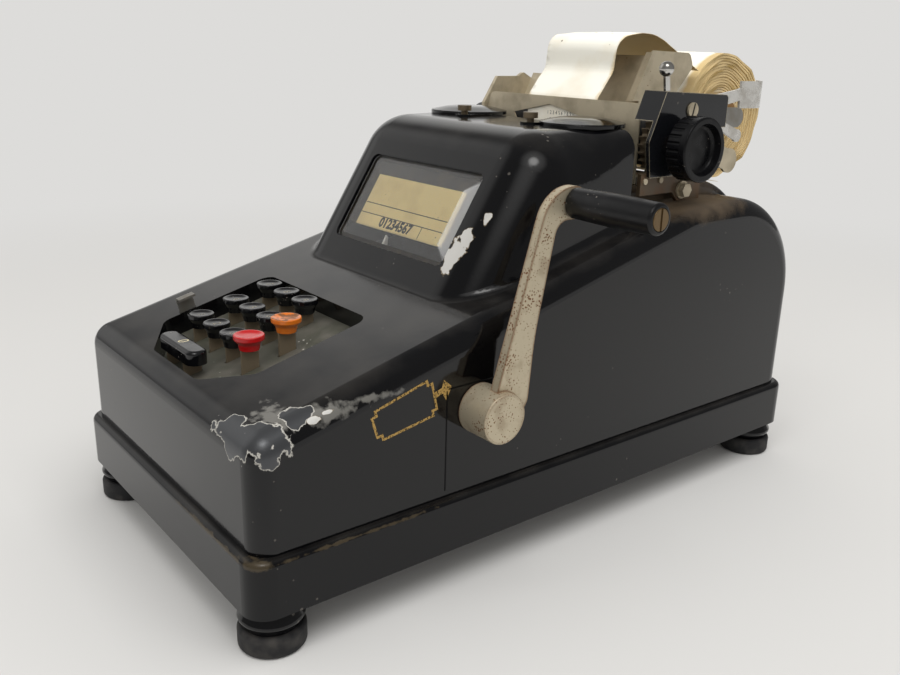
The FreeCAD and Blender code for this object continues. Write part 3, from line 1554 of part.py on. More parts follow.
def make_paper_table():
    """Leaning table behind the paper with a stepped left end, and the guide at its right end."""
    lean = tangent(dim.table_lean)
    foot_z = dim.rear_bar_z + dim.bar_section
    foot_y = dim.rear_bar_y + dim.sheet / 2
    table = new_body("paper_table")
    for left, right, rise in (
            (-dim.left_plate_x, -dim.table_step_x, dim.table_step),
            (-dim.table_step_x, dim.guide_x, dim.table_rise)):
        side = sketch_on(table, "YZ_Plane", (0, 0, left))
        outline(side, [
            (foot_y, foot_z),
            (foot_y + dim.sheet, foot_z),
            (foot_y + dim.sheet + rise * lean, foot_z + rise),
            (foot_y + rise * lean, foot_z + rise),
        ])
        pad(table, side, right - left)
    finish("paper_table", table)

    guide = new_body("paper_guide")
    face = sketch_on(guide, "YZ_Plane", (0, 0, dim.guide_x))
    reach = (dim.guide_top - dim.guide_low) * tangent(dim.table_lean)
    curl = dim.bar_section
    outline(face, [
        (dim.rear_bar_y, foot_z),
        (dim.rear_bar_y + dim.bar_section, foot_z),
        (dim.rear_bar_y + dim.bar_section, dim.guide_low),
        (dim.guide_rear - reach - curl, dim.guide_low),
        (dim.guide_rear, dim.guide_top - curl * 2, curl),
        (dim.guide_rear - curl, dim.guide_top, curl),
        (dim.guide_front + reach, dim.guide_top + dim.sheet),
        (dim.guide_front, dim.guide_low),
        (dim.rear_bar_y, dim.guide_low),
    ])
    pad(guide, face, dim.sheet)
    lip = sketch_on(guide, "YZ_Plane", (0, 0, dim.guide_x - curl))
    outline(lip, [
        (dim.guide_front, dim.guide_low),
        (dim.guide_front + dim.sheet * 1.2, dim.guide_low),
        (dim.guide_front + reach + dim.sheet * 1.2, dim.guide_top),
        (dim.guide_front + reach, dim.guide_top),
    ])
    pad(guide, lip, curl + dim.sheet / 2)
    finish("paper_guide", guide)


def bent_wire(corners):
    """A wire of straight runs and tangent arcs in the side view, from (y, z, radius) corners."""
    points = [FreeCAD.Vector(y, z, 0) for y, z, _ in corners]
    edges = []
    start = points[0]
    for i in range(1, len(points) - 1):
        enter, leave, arc, _ = rounding(points[i - 1], points[i], points[i + 1], corners[i][2])
        edges += [Part.makeLine(start, enter), arc.toShape()]
        start = leave
    edges.append(Part.makeLine(start, points[-1]))
    return Part.Wire(Part.__sortEdges__(edges))


def make_paper():
    """Paper strip from the roll, under the platen and up over the table, and the roll itself."""
    wrap = (dim.platen_radius + dim.running_gap + dim.paper_thickness / 2).value
    slope = math.radians(dim.paper_feed.value)
    platen_y, platen_z = dim.platen_y.value, dim.platen_z.value
    front = platen_y - wrap
    under_y = platen_y - wrap * math.sin(slope)
    under_z = platen_z - wrap * math.cos(slope)
    tail = dim.roll_y.value
    arch_y, arch_z, arch = dim.paper_arch_y.value, dim.paper_arch_z.value, dim.paper_arch.value
    route = bent_wire([
        (tail, under_z - (tail - under_y) * math.tan(slope), 0),
        (front, under_z + (under_y - front) * math.tan(slope), wrap),
        (front, dim.shield_top.value, arch / 3),
        (arch_y - arch * 1.5, arch_z - arch, arch / 2),
        (arch_y - arch * 1.45, arch_z - arch / 6, arch / 2),
        (arch_y, arch_z, arch * 2),
        (arch_y + arch * 2, arch_z - arch, 0),
    ])
    ribbon = route.makeOffset2D(dim.paper_thickness.value / 2, 0, True, True)
    width = (dim.paper_left + dim.paper_right).value
    strip = doc.addObject("Part::Feature", "paper_strip")
    solid = ribbon.extrude(FreeCAD.Vector(0, 0, width))
    solid.Placement = FreeCAD.Placement(FreeCAD.Vector(-dim.paper_left.value, 0, 0), SIDE_ON)
    strip.Shape = Part.Compound([solid]).Solids[0]
    finish_moved("paper_strip", strip)

    roll = new_body("paper_roll")
    half = sketch_on(roll, "XZ_Plane")
    outline(half, [
        (-dim.paper_left, dim.roll_core),
        (-dim.paper_left, dim.roll_radius),
        (dim.paper_right, dim.roll_radius),
        (dim.paper_right - dim.roll_dish, dim.roll_bore),
        (dim.paper_right, dim.roll_bore),
        (dim.paper_right, dim.roll_core),
    ])
    turned(roll, half, "H_Axis")
    finish("paper_roll", roll, (0, dim.roll_y, dim.roll_z))


def make_roll_arms():
    """Two arms from the rear bar with the spindle that the roll turns on."""
    body = new_body("roll_arms")
    root = dim.rear_bar_y + dim.bar_section
    half = dim.roll_arm_height / 2
    left = -dim.paper_left - dim.roll_side_gap
    right = dim.paper_right + dim.roll_side_gap
    rod = sketch_on(body, "YZ_Plane", (0, 0, left - dim.plate_sheet / 2))
    circle(rod, dim.roll_y, dim.roll_z, dim.roll_core - dim.roll_play)
    pad(body, rod, right - left + dim.plate_sheet)
    for start in (left - dim.plate_sheet, right):
        arm = sketch_on(body, "YZ_Plane", (0, 0, start))
        outline(arm, [
            (root, dim.rear_bar_z),
            (dim.roll_y + half, dim.roll_z - half, half - dim.press_gap),
            (dim.roll_y + half, dim.roll_z + half, half - dim.press_gap),
            (root, dim.rear_bar_z + dim.bar_section),
        ])
        pad(body, arm, dim.plate_sheet)
    finish("roll_arms", body)


def make_levers():
    """Levers on the inside of the right end plate, and the pins, nut and screw of the carriage."""
    gap = dim.running_gap
    hole = dim.pin_radius + dim.shaft_gap
    outer = dim.right_plate_x - dim.lever_stand - gap
    inner = outer - dim.lever_sheet
    fast = new_body("carriage_fastenings")
    for along, up in ((dim.ball_pin_y, dim.ball_pin_z), (dim.release_pin_y, dim.release_pin_z),
                      (dim.thin_pin_y, dim.thin_pin_z), (dim.broad_pin_y, dim.broad_pin_z)):
        rod = sketch_on(fast, "YZ_Plane", (0, 0, inner - gap))
        circle(rod, along, up, dim.pin_radius)
        pad(fast, rod, dim.right_plate_x - inner + gap)
        washer = sketch_on(fast, "YZ_Plane", (0, 0, outer + gap))
        circle(washer, along, up, dim.pin_head)
        pad(fast, washer, dim.right_plate_x - outer - gap)
    screw = sketch_on(fast, "YZ_Plane", (0, 0, right_outer))
    circle(screw, dim.plate_screw_y, dim.plate_screw_z, dim.nut_radius)
    pad(fast, screw, dim.screw_slot)
    nut_y, nut_z = dim.nut_y, case_top + dim.nut_radius * 1.5
    washer = sketch_on(fast, "YZ_Plane", (0, 0, dim.right_plate_x))
    circle(washer, nut_y, nut_z, dim.nut_radius + dim.washer_height)
    pad(fast, washer, dim.washer_height)
    nut = sketch_on(fast, "YZ_Plane", (0, 0, dim.right_plate_x + dim.washer_height))
    step = dim.nut_radius * math.sqrt(3) / 2
    outline(nut, [
        (nut_y - dim.nut_radius, nut_z),
        (nut_y - dim.nut_radius / 2, nut_z - step),
        (nut_y + dim.nut_radius / 2, nut_z - step),
        (nut_y + dim.nut_radius, nut_z),
        (nut_y + dim.nut_radius / 2, nut_z + step),
        (nut_y - dim.nut_radius / 2, nut_z + step),
    ])
    pad(fast, nut, dim.nut_height)
    rivet_z = dim.bracket_top - dim.bracket_rivet * 2.5
    for along in (dim.bracket_front + dim.bracket_rivet * 2, dim.platen_y - dim.nut_radius * 2):
        rivet = sketch_on(fast, "YZ_Plane", (0, 0, dim.right_plate_x))
        circle(rivet, along, rivet_z, dim.bracket_rivet)
        pad(fast, rivet, dim.washer_height)
    finish("carriage_fastenings", fast)

    def lever(name, tip, width, tip_radius):
        """A flat lever from its pin to a rounded tip, drawn from the pin."""
        body = new_body(name)
        across, up = tip
        length = math.hypot(across.value, up.value)
        side_y = -up * (1 / length)
        side_z = across * (1 / length)
        face = sketch_on(body, "YZ_Plane", (0, 0, inner))
        near, far = width / 2, tip_radius * 0.9
        outline(face, [
            (-side_y * near, -side_z * near),
            (across - side_y * far, up - side_z * far),
            (across + side_y * far, up + side_z * far),
            (side_y * near, side_z * near),
        ])
        pad(body, face, dim.lever_sheet)
        for along, high, radius in ((as_size(0), as_size(0), dim.pin_head), (across, up, tip_radius)):
            boss = sketch_on(body, "YZ_Plane", (along, high, inner))
            circle(boss, 0, 0, radius)
            pad(body, boss, dim.lever_sheet)
        return body

    def bored(name, body, along, up):
        """Drill a lever for its pin and put it there."""
        bore = sketch_on(body, "YZ_Plane", (0, 0, inner))
        circle(bore, 0, 0, hole)
        pocket(body, bore, dim.lever_sheet)
        finish(name, body, (0, along, up))

    ball_tip = (dim.ball_y - dim.ball_pin_y, dim.ball_z - dim.ball_pin_z)
    ball = lever("ball_lever", ball_tip, dim.pin_head, dim.pin_radius)
    bead = sketch_on(ball, "XZ_Plane",
                     (inner + dim.lever_sheet / 2, ball_tip[1], -ball_tip[0]))
    half = dim.ball_radius
    outline(bead, [
        (0, -half),
        (half, -half, half - dim.press_gap),
        (half, half, half - dim.press_gap),
        (0, half),
    ])
    turned(ball, bead, "V_Axis")
    bored("ball_lever", ball, dim.ball_pin_y, dim.ball_pin_z)

    release_tip = (dim.release_reach, dim.release_rise)
    release = lever("release_lever", release_tip, dim.pin_head * 2, dim.pin_head)
    tab = sketch_on(release, "XY_Plane", (inner, 0, dim.release_rise - dim.release_tab / 2))
    start, end = dim.release_reach, dim.release_reach + dim.release_length
    swell = dim.lever_sheet * 4
    outline(tab, [
        (0, start),
        (dim.lever_sheet, start),
        (dim.lever_sheet + swell, (start + end) / 2, dim.release_length / 2),
        (dim.lever_sheet - swell, end),
        (-swell, end - dim.lever_sheet),
        (swell, (start + end) / 2, dim.release_length / 2 - dim.lever_sheet),
    ])
    pad(release, tab, dim.release_tab)
    bored("release_lever", release, dim.release_pin_y, dim.release_pin_z)

    thin = lever("thin_lever", (dim.thin_reach, -dim.thin_drop), dim.pin_radius * 2, dim.thin_tip)
    bored("thin_lever", thin, dim.thin_pin_y, dim.thin_pin_z)
    broad = lever("broad_lever", (dim.broad_reach, -dim.broad_drop), dim.pin_head * 2, dim.broad_tip)
    bored("broad_lever", broad, dim.broad_pin_y, dim.broad_pin_z)


def write_parts():
    """Check every object and write each sub-part's solid to its own file."""
    doc.recompute()
    failed = [thing.Name for thing in doc.Objects if {"Invalid", "Error"} & set(thing.State)]
    failed += [name for name, thing in subparts.items() if thing.Shape.isNull() or not thing.Shape.isValid()]
    if failed:
        raise RuntimeError(f"failed objects: {failed}")
    os.makedirs("parts", exist_ok=True)
    for name, thing in subparts.items():
        thing.Shape.exportStep(f"parts/{name}.step")


MAKERS = (
    make_base_frame, make_bottom_plate, make_feet, make_case_shell, make_side_panel, make_window,
    make_keyboard_plate, make_keys, make_inner_frames, make_slider, make_crank_shaft, make_counter,
    make_crank, make_type_bars, make_spools, make_spool_bracket, make_platen, make_knobs,
    make_end_plates, make_carriage_bars, make_paper_table, make_paper, make_roll_arms, make_levers,
)
for make in MAKERS:
    make()
write_parts()
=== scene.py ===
"""Finishes and small pieces of a crank-driven adding machine, dressed around its solids."""

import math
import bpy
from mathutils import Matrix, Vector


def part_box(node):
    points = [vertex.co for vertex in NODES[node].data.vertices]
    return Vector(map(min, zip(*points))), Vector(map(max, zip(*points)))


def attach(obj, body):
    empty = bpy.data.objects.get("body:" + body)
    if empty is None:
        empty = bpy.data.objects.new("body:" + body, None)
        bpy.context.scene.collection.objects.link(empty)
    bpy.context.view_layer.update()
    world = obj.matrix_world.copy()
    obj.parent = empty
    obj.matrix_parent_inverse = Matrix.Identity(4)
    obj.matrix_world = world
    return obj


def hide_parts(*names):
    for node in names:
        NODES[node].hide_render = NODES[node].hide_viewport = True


bl_info = {
    "name": "Adding machine",
    "version": (1, 0, 0),
    "blender": (4, 5, 0),
    "location": "View3D > Sidebar > Adding machine",
    "description": "Dresses the solids of an adding machine with their finishes and small pieces",
    "category": "Object",
}

from collections import namedtuple

import bmesh
import bpy
from bpy.props import FloatProperty, FloatVectorProperty, PointerProperty
from bpy.types import Operator, Panel, PropertyGroup
from mathutils import Matrix, Vector, noise
from mathutils.bvhtree import BVHTree

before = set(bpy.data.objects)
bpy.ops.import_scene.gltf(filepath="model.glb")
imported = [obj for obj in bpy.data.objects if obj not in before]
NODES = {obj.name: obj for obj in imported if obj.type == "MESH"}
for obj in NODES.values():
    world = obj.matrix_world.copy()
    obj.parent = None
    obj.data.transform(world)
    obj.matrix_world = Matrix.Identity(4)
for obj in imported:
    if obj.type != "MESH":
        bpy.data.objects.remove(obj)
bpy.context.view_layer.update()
MM = 0.001
# Corners closer than this are taken as one
WELD = 0.001 * MM
# Width of the line where one finish ends cleanly and the next begins
CLEAN_LINE = 0.1 * MM
# Height above a solid from which a mark is dropped onto it
DROP = 4 * MM
# A material with its node tree, the coordinates of the piece it is on, and its shader
Finish = namedtuple("Finish", "material tree place shader")
# A mixing node's colour sockets by number, since they share their names with its other sockets
COLOUR_A, COLOUR_B, COLOUR_OUT = 6, 7, 2
base_low, base_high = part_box("base_frame")
BASE_MIDDLE = (base_low + base_high) / 2


def linear(code):
    """An sRGB hex colour as linear red, green and blue."""
    parts = [int(code[i:i + 2], 16) / 255 for i in (1, 3, 5)]
    return [c / 12.92 if c <= 0.04045 else ((c + 0.055) / 1.055) ** 2.4 for c in parts]


def spot(across, along, up):
    """A place in the frame from millimetres right of, behind and above the base's middle on the desk."""
    return Vector((BASE_MIDDLE.x + across * MM, BASE_MIDDLE.y + along * MM, up * MM))


def colour_property(name, description, code):
    """A colour among the settings, from its hex code."""
    return FloatVectorProperty(
        name=name, description=description, default=linear(code), subtype="COLOR", min=0, max=1)


def length_property(name, description, size):
    """A length among the settings, from millimetres."""
    return FloatProperty(name=name, description=description, default=size * MM, unit="LENGTH")


class AdderColours(PropertyGroup):
    """Colours of the machine's finishes."""

    enamel: colour_property("Enamel", "Stoved black enamel of the case", "#060608")
    bare: colour_property("Bare metal", "Cast metal where the enamel has chipped off", "#4a4c50")
    lip: colour_property("Chip edge", "Pale broken edge of the enamel round a chip", "#b7b4ac")
    silver: colour_property("Scraped metal", "Bright metal scraped bare", "#cfcdc8")
    dust: colour_property("Dust", "Dust on faces that look up", "#6b665f")
    nickel: colour_property("Nickel", "Tarnished nickel plate", "#c6baa1")
    tarnish: colour_property("Tarnish", "Brown tarnish on nickel", "#6f6149")
    grime: colour_property("Grime", "Brown oily dust under the carriage", "#5a4c3b")
    rust: colour_property("Rust", "Rust at edges and in pits", "#6b421d")
    steel: colour_property("Steel", "Bright steel of the mechanism", "#8d8b86")
    chrome: colour_property("Chrome", "Chrome of the ball on its lever", "#cfcdc8")
    brass: colour_property("Brass", "Brass of pins and bushes", "#6f5a3c")
    bakelite: colour_property("Bakelite", "Black caps, knobs and grip", "#0c0c0e")
    red: colour_property("Red cap", "Red key cap", "#b3191b")
    orange: colour_property("Orange cap", "Orange key cap", "#cf6d1e")
    stem: colour_property("Key stem", "Dull steel strip under a key cap", "#7d705c")
    lacquer: colour_property("Lacquer", "Thin black lacquer on a bent plate", "#121316")
    plate: colour_property("Guide plate", "Grey-green plate under the keys", "#4d4d43")
    rubber: colour_property("Rubber", "Feet and platen", "#141416")
    holder: colour_property("Card holder", "Dark sheet behind the window card", "#3a3731")
    card: colour_property("Card", "Cream card in the window", "#eed794")
    ink: colour_property("Ink", "Print on the card and the paper", "#0e0c0a")
    paper: colour_property("Paper", "Face of the paper strip", "#f9f6ea")
    # Aged paper colour, also laid as painted shade on the faces of the paper that look down
    age: colour_property("Aged paper", "Yellowed edges and inside of the roll", "#c9ab6c")
    core: colour_property("Roll core", "Board tube inside the paper roll", "#8a6a45")
    gilt: colour_property("Gilt", "Gold line on the side plaque", "#b08f52")
    legend: colour_property("Legend", "Figures on the key caps", "#8f897a")
    cream: colour_property("Cream", "Filled mark on the zero bar", "#cfc3a0")
    cloth: colour_property("Cloth", "Pale cloth under the machine", "#cfcecc")
    backdrop: colour_property("Backdrop", "Pale background", "#dddcda")
    # Painted shade: colour of the dark strips laid in the seam round the crank panel and in the screw's slot
    seam: colour_property("Seam", "Dark gap round a panel", "#010102")


class AdderSizes(PropertyGroup):
    """Sizes that scene pieces take apart from the solids."""

    window_lean: FloatProperty(
        name="Window lean", description="Slope of the window face", default=math.radians(57.7),
        subtype="ANGLE")
    cap_height: length_property("Cap height", "Height of a key cap above its stem", 7.4)
    mark_lift: length_property("Mark lift", "How far print and gilt stand proud", 0.03)
    roll_layer: length_property("Roll layer", "Thickness of a visible layer of the roll", 1.6)
    camera_lens: FloatProperty(
        name="Camera lens", description="Focal length of the camera", default=36.31, unit="CAMERA")


def add_node(tree, kind, inputs=None, **settings):
    """Add a node with its settings, and set or link its inputs."""
    node = tree.nodes.new(kind)
    for name, value in settings.items():
        setattr(node, name, value)
    for key, value in (inputs or {}).items():
        if isinstance(value, bpy.types.NodeSocket):
            tree.links.new(value, node.inputs[key])
        else:
            node.inputs[key].default_value = value
    return node


def opaque(colour):
    """A colour with full alpha."""
    return (*colour, 1.0)


def per_mm(size):
    """Scale of a texture whose pattern is about a size in millimetres."""
    return 1 / (size * MM)


def new_finish(name, colour, roughness, metallic=0.0, ior=1.5, gloss=0.5):
    """A material with one Principled shader, and the piece's own coordinates."""
    material = bpy.data.materials.new(name)
    material.use_nodes = True
    tree = material.node_tree
    tree.nodes.clear()
    place = add_node(tree, "ShaderNodeTexCoord").outputs["Object"]
    shader = add_node(tree, "ShaderNodeBsdfPrincipled", {
        "Base Color": opaque(colour), "Roughness": roughness, "Metallic": metallic, "IOR": ior,
        "Specular IOR Level": gloss})
    add_node(tree, "ShaderNodeOutputMaterial", {"Surface": shader.outputs["BSDF"]})
    return Finish(material, tree, place, shader)


def lay_over(finish, pattern, levels, most=1.0, colour=None, roughness=None, metallic=None):
    """Lay another look over a finish as a pattern passes from one level to the other."""
    tree, inputs = finish.tree, finish.shader.inputs
    mask = add_node(tree, "ShaderNodeMapRange", {
        "Value": pattern, "From Min": levels[0], "From Max": levels[1], "To Max": most}).outputs["Result"]
    for name, value in (("Roughness", roughness), ("Metallic", metallic)):
        if value is not None:
            socket = inputs[name]
            under = socket.links[0].from_socket if socket.links else socket.default_value
            mixed = add_node(tree, "ShaderNodeMix", {"Factor": mask, "A": under, "B": value},
                             data_type="FLOAT")
            tree.links.new(mixed.outputs[0], socket)
    if colour is not None:
        socket = inputs["Base Color"]
        under = socket.links[0].from_socket if socket.links else tuple(socket.default_value)
        mixed = add_node(tree, "ShaderNodeMix", {"Factor": mask, COLOUR_A: under, COLOUR_B: opaque(colour)},
                         data_type="RGBA")
        tree.links.new(mixed.outputs[COLOUR_OUT], socket)


def stain(finish, size, levels, most=1.0, **look):
    """Lay cloudy stains of a size in millimetres over a finish."""
    cloud = add_node(finish.tree, "ShaderNodeTexNoise", {
        "Vector": finish.place, "Scale": per_mm(size), "Detail": 4.0}).outputs["Fac"]
    lay_over(finish, cloud, levels, most, **look)


# A cloud of specks is this many specks wide, and a speck's rim is this part of the specks' pitch
SPECK_CLOUD = 7
SPECK_RIM = 0.06


def speckle(finish, pitch, radius, spread, **look):
    """Lay round specks over a finish, larger where a cloud is thick and gone where it is thin."""
    tree, place = finish.tree, finish.place
    cells = add_node(tree, "ShaderNodeTexVoronoi", {"Vector": place, "Scale": per_mm(pitch)})
    cloud = add_node(tree, "ShaderNodeTexNoise", {
        "Vector": place, "Scale": per_mm(pitch * SPECK_CLOUD), "Detail": 3.0}).outputs["Fac"]
    level = add_node(tree, "ShaderNodeMath", {0: cloud, 1: -1.0, 2: cells.outputs["Distance"]},
                     operation="MULTIPLY_ADD").outputs[0]
    edge = radius / pitch - spread
    lay_over(finish, level, (edge, edge - SPECK_RIM), **look)


def dusting(finish, size, levels, most=1.0, **look):
    """Lay dust over the faces that look up, in clouds of a size in millimetres."""
    tree = finish.tree
    normal = add_node(tree, "ShaderNodeNewGeometry").outputs["Normal"]
    up = add_node(tree, "ShaderNodeSeparateXYZ", {"Vector": normal}).outputs["Z"]
    cloud = add_node(tree, "ShaderNodeTexNoise", {
        "Vector": finish.place, "Scale": per_mm(size), "Detail": 6.0}).outputs["Fac"]
    level = add_node(tree, "ShaderNodeMath", {0: up, 1: cloud}, operation="MULTIPLY").outputs[0]
    lay_over(finish, level, levels, most, **look)


def patch_reach(finish, patches, ragged, grain):
    """Distance from the nearest of some ragged patches, in patch radii: about 1 at its edge."""
    tree, place = finish.tree, finish.place
    nearest = None
    for middle, radii in patches:
        away = add_node(tree, "ShaderNodeVectorMath", {0: place, 1: spot(*middle)},
                        operation="SUBTRACT").outputs[0]
        scaled = add_node(tree, "ShaderNodeVectorMath", {0: away, 1: [per_mm(r) for r in radii]},
                          operation="MULTIPLY").outputs[0]
        reach = add_node(tree, "ShaderNodeVectorMath", {0: scaled}, operation="LENGTH").outputs["Value"]
        if nearest is not None:
            reach = add_node(tree, "ShaderNodeMath", {0: nearest, 1: reach}, operation="MINIMUM").outputs[0]
        nearest = reach
    cloud = add_node(tree, "ShaderNodeTexNoise", {
        "Vector": place, "Scale": per_mm(grain), "Detail": 6.0}).outputs["Fac"]
    shift = add_node(tree, "ShaderNodeMath", {0: nearest, 1: -ragged / 2}, operation="ADD").outputs[0]
    return add_node(tree, "ShaderNodeMath", {0: cloud, 1: ragged, 2: shift},
                    operation="MULTIPLY_ADD").outputs[0]


def skin_relief(finish, size, height):
    """Fine relief on a surface, its grain and height in millimetres."""
    grain = add_node(finish.tree, "ShaderNodeTexNoise", {
        "Vector": finish.place, "Scale": per_mm(size), "Detail": 3.0}).outputs["Fac"]
    bump = add_node(finish.tree, "ShaderNodeBump", {
        "Height": grain, "Distance": height * MM, "Strength": 1.0}).outputs["Normal"]
    finish.tree.links.new(bump, finish.shader.inputs["Normal"])


# Cosines of the turn from a face to its rounded rim at which wear begins and is full
RIM_TURN = (0.985, 0.9)


def worn_rims(finish, radius, most, **look):
    """Lay another look along a piece's edges, a radius in millimetres wide."""
    tree = finish.tree
    soft = add_node(tree, "ShaderNodeBevel", {"Radius": radius * MM}, samples=6).outputs["Normal"]
    sharp = add_node(tree, "ShaderNodeNewGeometry").outputs["Normal"]
    alike = add_node(tree, "ShaderNodeVectorMath", {0: soft, 1: sharp},
                     operation="DOT_PRODUCT").outputs["Value"]
    lay_over(finish, alike, RIM_TURN, most, **look)


# Patches of the enamel: middle and radii in millimetres from the base's middle on the desk
CORNER_CHIPS = (
    ((79, -182, 96), (15, 8, 8)),
    ((90, -175, 96), (9, 8, 9)),
    ((90, -158, 103), (6, 7, 4)),
)
EDGE_SCRAPES = (
    ((94.6, -155, 102), (1.4, 3.4, 1.6)),
    ((94.4, -147, 103.6), (0.9, 3, 1)),
)
WINDOW_CHIPS = (
    ((54, -51, 150), (5, 8, 10)),
    ((57, -47, 158), (3.4, 5, 6)),
    ((63, -40, 169), (2, 3, 4)),
)
EDGE_WEAR = (
    ((94, -150, 103.5), (7, 16, 4)),
    ((96, -126, 106), (2, 18, 2)),
    ((84, -166, 102), (16, 7, 4)),
)
LEDGE_WEAR = (
    ((95, -183, 46), (9, 7, 2.4)),
    ((60, -187, 45.5), (36, 5, 1)),
    ((100.5, -140, 46), (2, 40, 0.8)),
)
HUMP_GRIME = (
    ((72, 92, 168), (34, 40, 12)),
    ((40, 95, 168), (50, 44, 12)),
)


def black_enamel(colours, name="black_enamel", base=None, gloss=0.42, chips=(), bright=(), worn=(),
                 grimy=(), rub=None):
    """Black stoved enamel on cast metal: deep gloss, hazed and dusty on top, chipped to grey at corners."""
    finish = new_finish(name, base or colours.enamel, roughness=0.06, gloss=gloss)
    stain(finish, size=60, levels=(0.4, 0.75), roughness=0.2)
    dusting(finish, size=22, levels=(0.3, 0.75), most=0.14, colour=colours.dust, roughness=0.5)
    speckle(finish, pitch=5, radius=0.22, spread=0.57, most=0.5, colour=colours.dust, roughness=0.5)
    if worn:
        reach = patch_reach(finish, worn, ragged=2.6, grain=4)
        lay_over(finish, reach, (1.0, 0.5), most=0.3, colour=rub or colours.lip, roughness=0.45)
    if grimy:
        reach = patch_reach(finish, grimy, ragged=0.9, grain=9)
        lay_over(finish, reach, (1.2, 0.6), most=0.85, colour=colours.grime, roughness=0.7)
    if chips:
        reach = patch_reach(finish, chips, ragged=2.6, grain=9)
        lay_over(finish, reach, (1.14, 1.08), colour=colours.lip, roughness=0.6)
        lay_over(finish, reach, (1.05, 1.0), most=0.95, colour=colours.bare, roughness=0.3, metallic=0.7)
    if bright:
        reach = patch_reach(finish, bright, ragged=2.4, grain=6)
        lay_over(finish, reach, (1.12, 1.06), colour=colours.tarnish, roughness=0.6)
        lay_over(finish, reach, (1.04, 1.0), colour=colours.silver, roughness=0.4, metallic=0.3)
    skin_relief(finish, size=2.4, height=0.012)
    return finish


def worn_enamel(colours):
    """Black enamel on a bent plate, rubbed to bright metal along its bends and rims."""
    finish = black_enamel(colours, "plate_enamel", colours.lacquer)
    worn_rims(finish, radius=0.7, most=0.9, colour=colours.nickel, roughness=0.35, metallic=0.8)
    return finish


def nickel_plate(colours):
    """Nickel plate on sheet steel, yellowed: satin sheen under brown stains and a few rust specks."""
    finish = new_finish("nickel_plate", colours.nickel, roughness=0.36, metallic=0.45)
    stain(finish, size=14, levels=(0.45, 0.75), most=0.55, colour=colours.tarnish, roughness=0.48)
    speckle(finish, pitch=3, radius=0.3, spread=0.6, colour=colours.rust, roughness=0.7, metallic=0.2)
    skin_relief(finish, size=1.2, height=0.012)
    return finish


def pitted_nickel(colours):
    """Nickel on a forged crank, worn to a pale skin: rust in its pits and along its edges."""
    finish = new_finish("pitted_nickel", colours.nickel, roughness=0.42, metallic=0.6)
    stain(finish, size=3, levels=(0.35, 0.65), most=0.5, roughness=0.6)
    speckle(finish, pitch=1.3, radius=0.3, spread=0.5, colour=colours.rust, roughness=0.85, metallic=0.0)
    worn_rims(finish, radius=2.2, most=0.8, colour=colours.rust, roughness=0.85, metallic=0.0)
    stain(finish, size=11, levels=(0.52, 0.66), most=0.25, colour=colours.rust, roughness=0.8)
    skin_relief(finish, size=0.9, height=0.03)
    return finish


def machined_metal(name, colour, tarnish, roughness, metallic=0.6):
    """Turned or cut metal: a bright satin with a faint brown stain."""
    finish = new_finish(name, colour, roughness, metallic)
    stain(finish, size=8, levels=(0.45, 0.75), most=0.5, colour=tarnish, roughness=roughness + 0.15)
    skin_relief(finish, size=0.7, height=0.005)
    return finish


def moulded_cap(name, colour, wear, roughness=0.09, gloss=0.5):
    """Moulded phenolic: a polished skin dulled by fingers, with specks of wear."""
    finish = new_finish(name, colour, roughness, ior=1.55, gloss=gloss)
    stain(finish, size=7, levels=(0.4, 0.7), roughness=roughness + 0.16)
    speckle(finish, pitch=2.6, radius=0.3, spread=0.58, colour=wear, roughness=0.5)
    skin_relief(finish, size=1.6, height=0.008)
    return finish


def cap_on_stem(colours, sizes, node, colour, wear, scorched=0.0):
    """A moulded cap whose strip of dull steel shows below it, its top scorched brown where it is old."""
    finish = moulded_cap(f"{node}_cap", colour, wear)
    if scorched:
        dusting(finish, size=3.2, levels=(0.44, 0.5), most=scorched, colour=wear, roughness=0.45)
    height = add_node(finish.tree, "ShaderNodeSeparateXYZ", {"Vector": finish.place}).outputs["Z"]
    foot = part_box(node)[1].z - sizes.cap_height
    lay_over(finish, height, (foot, foot - CLEAN_LINE), colour=colours.stem, roughness=0.5, metallic=0.3)
    return finish


def dull_rubber(colours):
    """Old moulded rubber: near black and matt, with a greyed bloom."""
    finish = new_finish("dull_rubber", colours.rubber, roughness=0.7)
    stain(finish, size=9, levels=(0.45, 0.75), most=0.3, colour=colours.dust, roughness=0.9)
    skin_relief(finish, size=0.8, height=0.03)
    return finish


def guide_plate_paint(colours):
    """Thin grey-green paint on sheet steel: matt, with dust in clouds and pale crumbs."""
    finish = new_finish("guide_plate_paint", colours.plate, roughness=0.5)
    stain(finish, size=10, levels=(0.4, 0.7), most=0.6, colour=colours.dust, roughness=0.75)
    speckle(finish, pitch=3, radius=0.25, spread=0.55, colour=colours.lip)
    return finish


def window_pane():
    """Bevelled plate glass: clear with a faint haze, and made opaque white on the bevel at the right as a
    painted highlight.
    """
    finish = new_finish("window_pane", (1, 1, 1), roughness=0.015, ior=1.52, gloss=0.12)
    tree = finish.tree
    # Painted highlight: faces turned to the right, on the bevel, lose their clearness and show the white
    # base colour
    normal = add_node(tree, "ShaderNodeNewGeometry").outputs["Normal"]
    across = add_node(tree, "ShaderNodeSeparateXYZ", {"Vector": normal}).outputs["X"]
    clear = add_node(tree, "ShaderNodeMapRange", {
        "Value": across, "From Min": 0.1, "From Max": 0.3, "To Min": 1.0, "To Max": 0.05}).outputs["Result"]
    tree.links.new(clear, finish.shader.inputs["Transmission Weight"])
    stain(finish, size=12, levels=(0.5, 0.8), roughness=0.06)
    return finish


def printed_card(colours):
    """Cream card: matt fibre browned in blotches and flecks."""
    finish = new_finish("printed_card", colours.card, roughness=0.7)
    stain(finish, size=16, levels=(0.45, 0.8), most=0.5, colour=colours.age)
    speckle(finish, pitch=2, radius=0.15, spread=0.55, colour=colours.tarnish)
    return finish


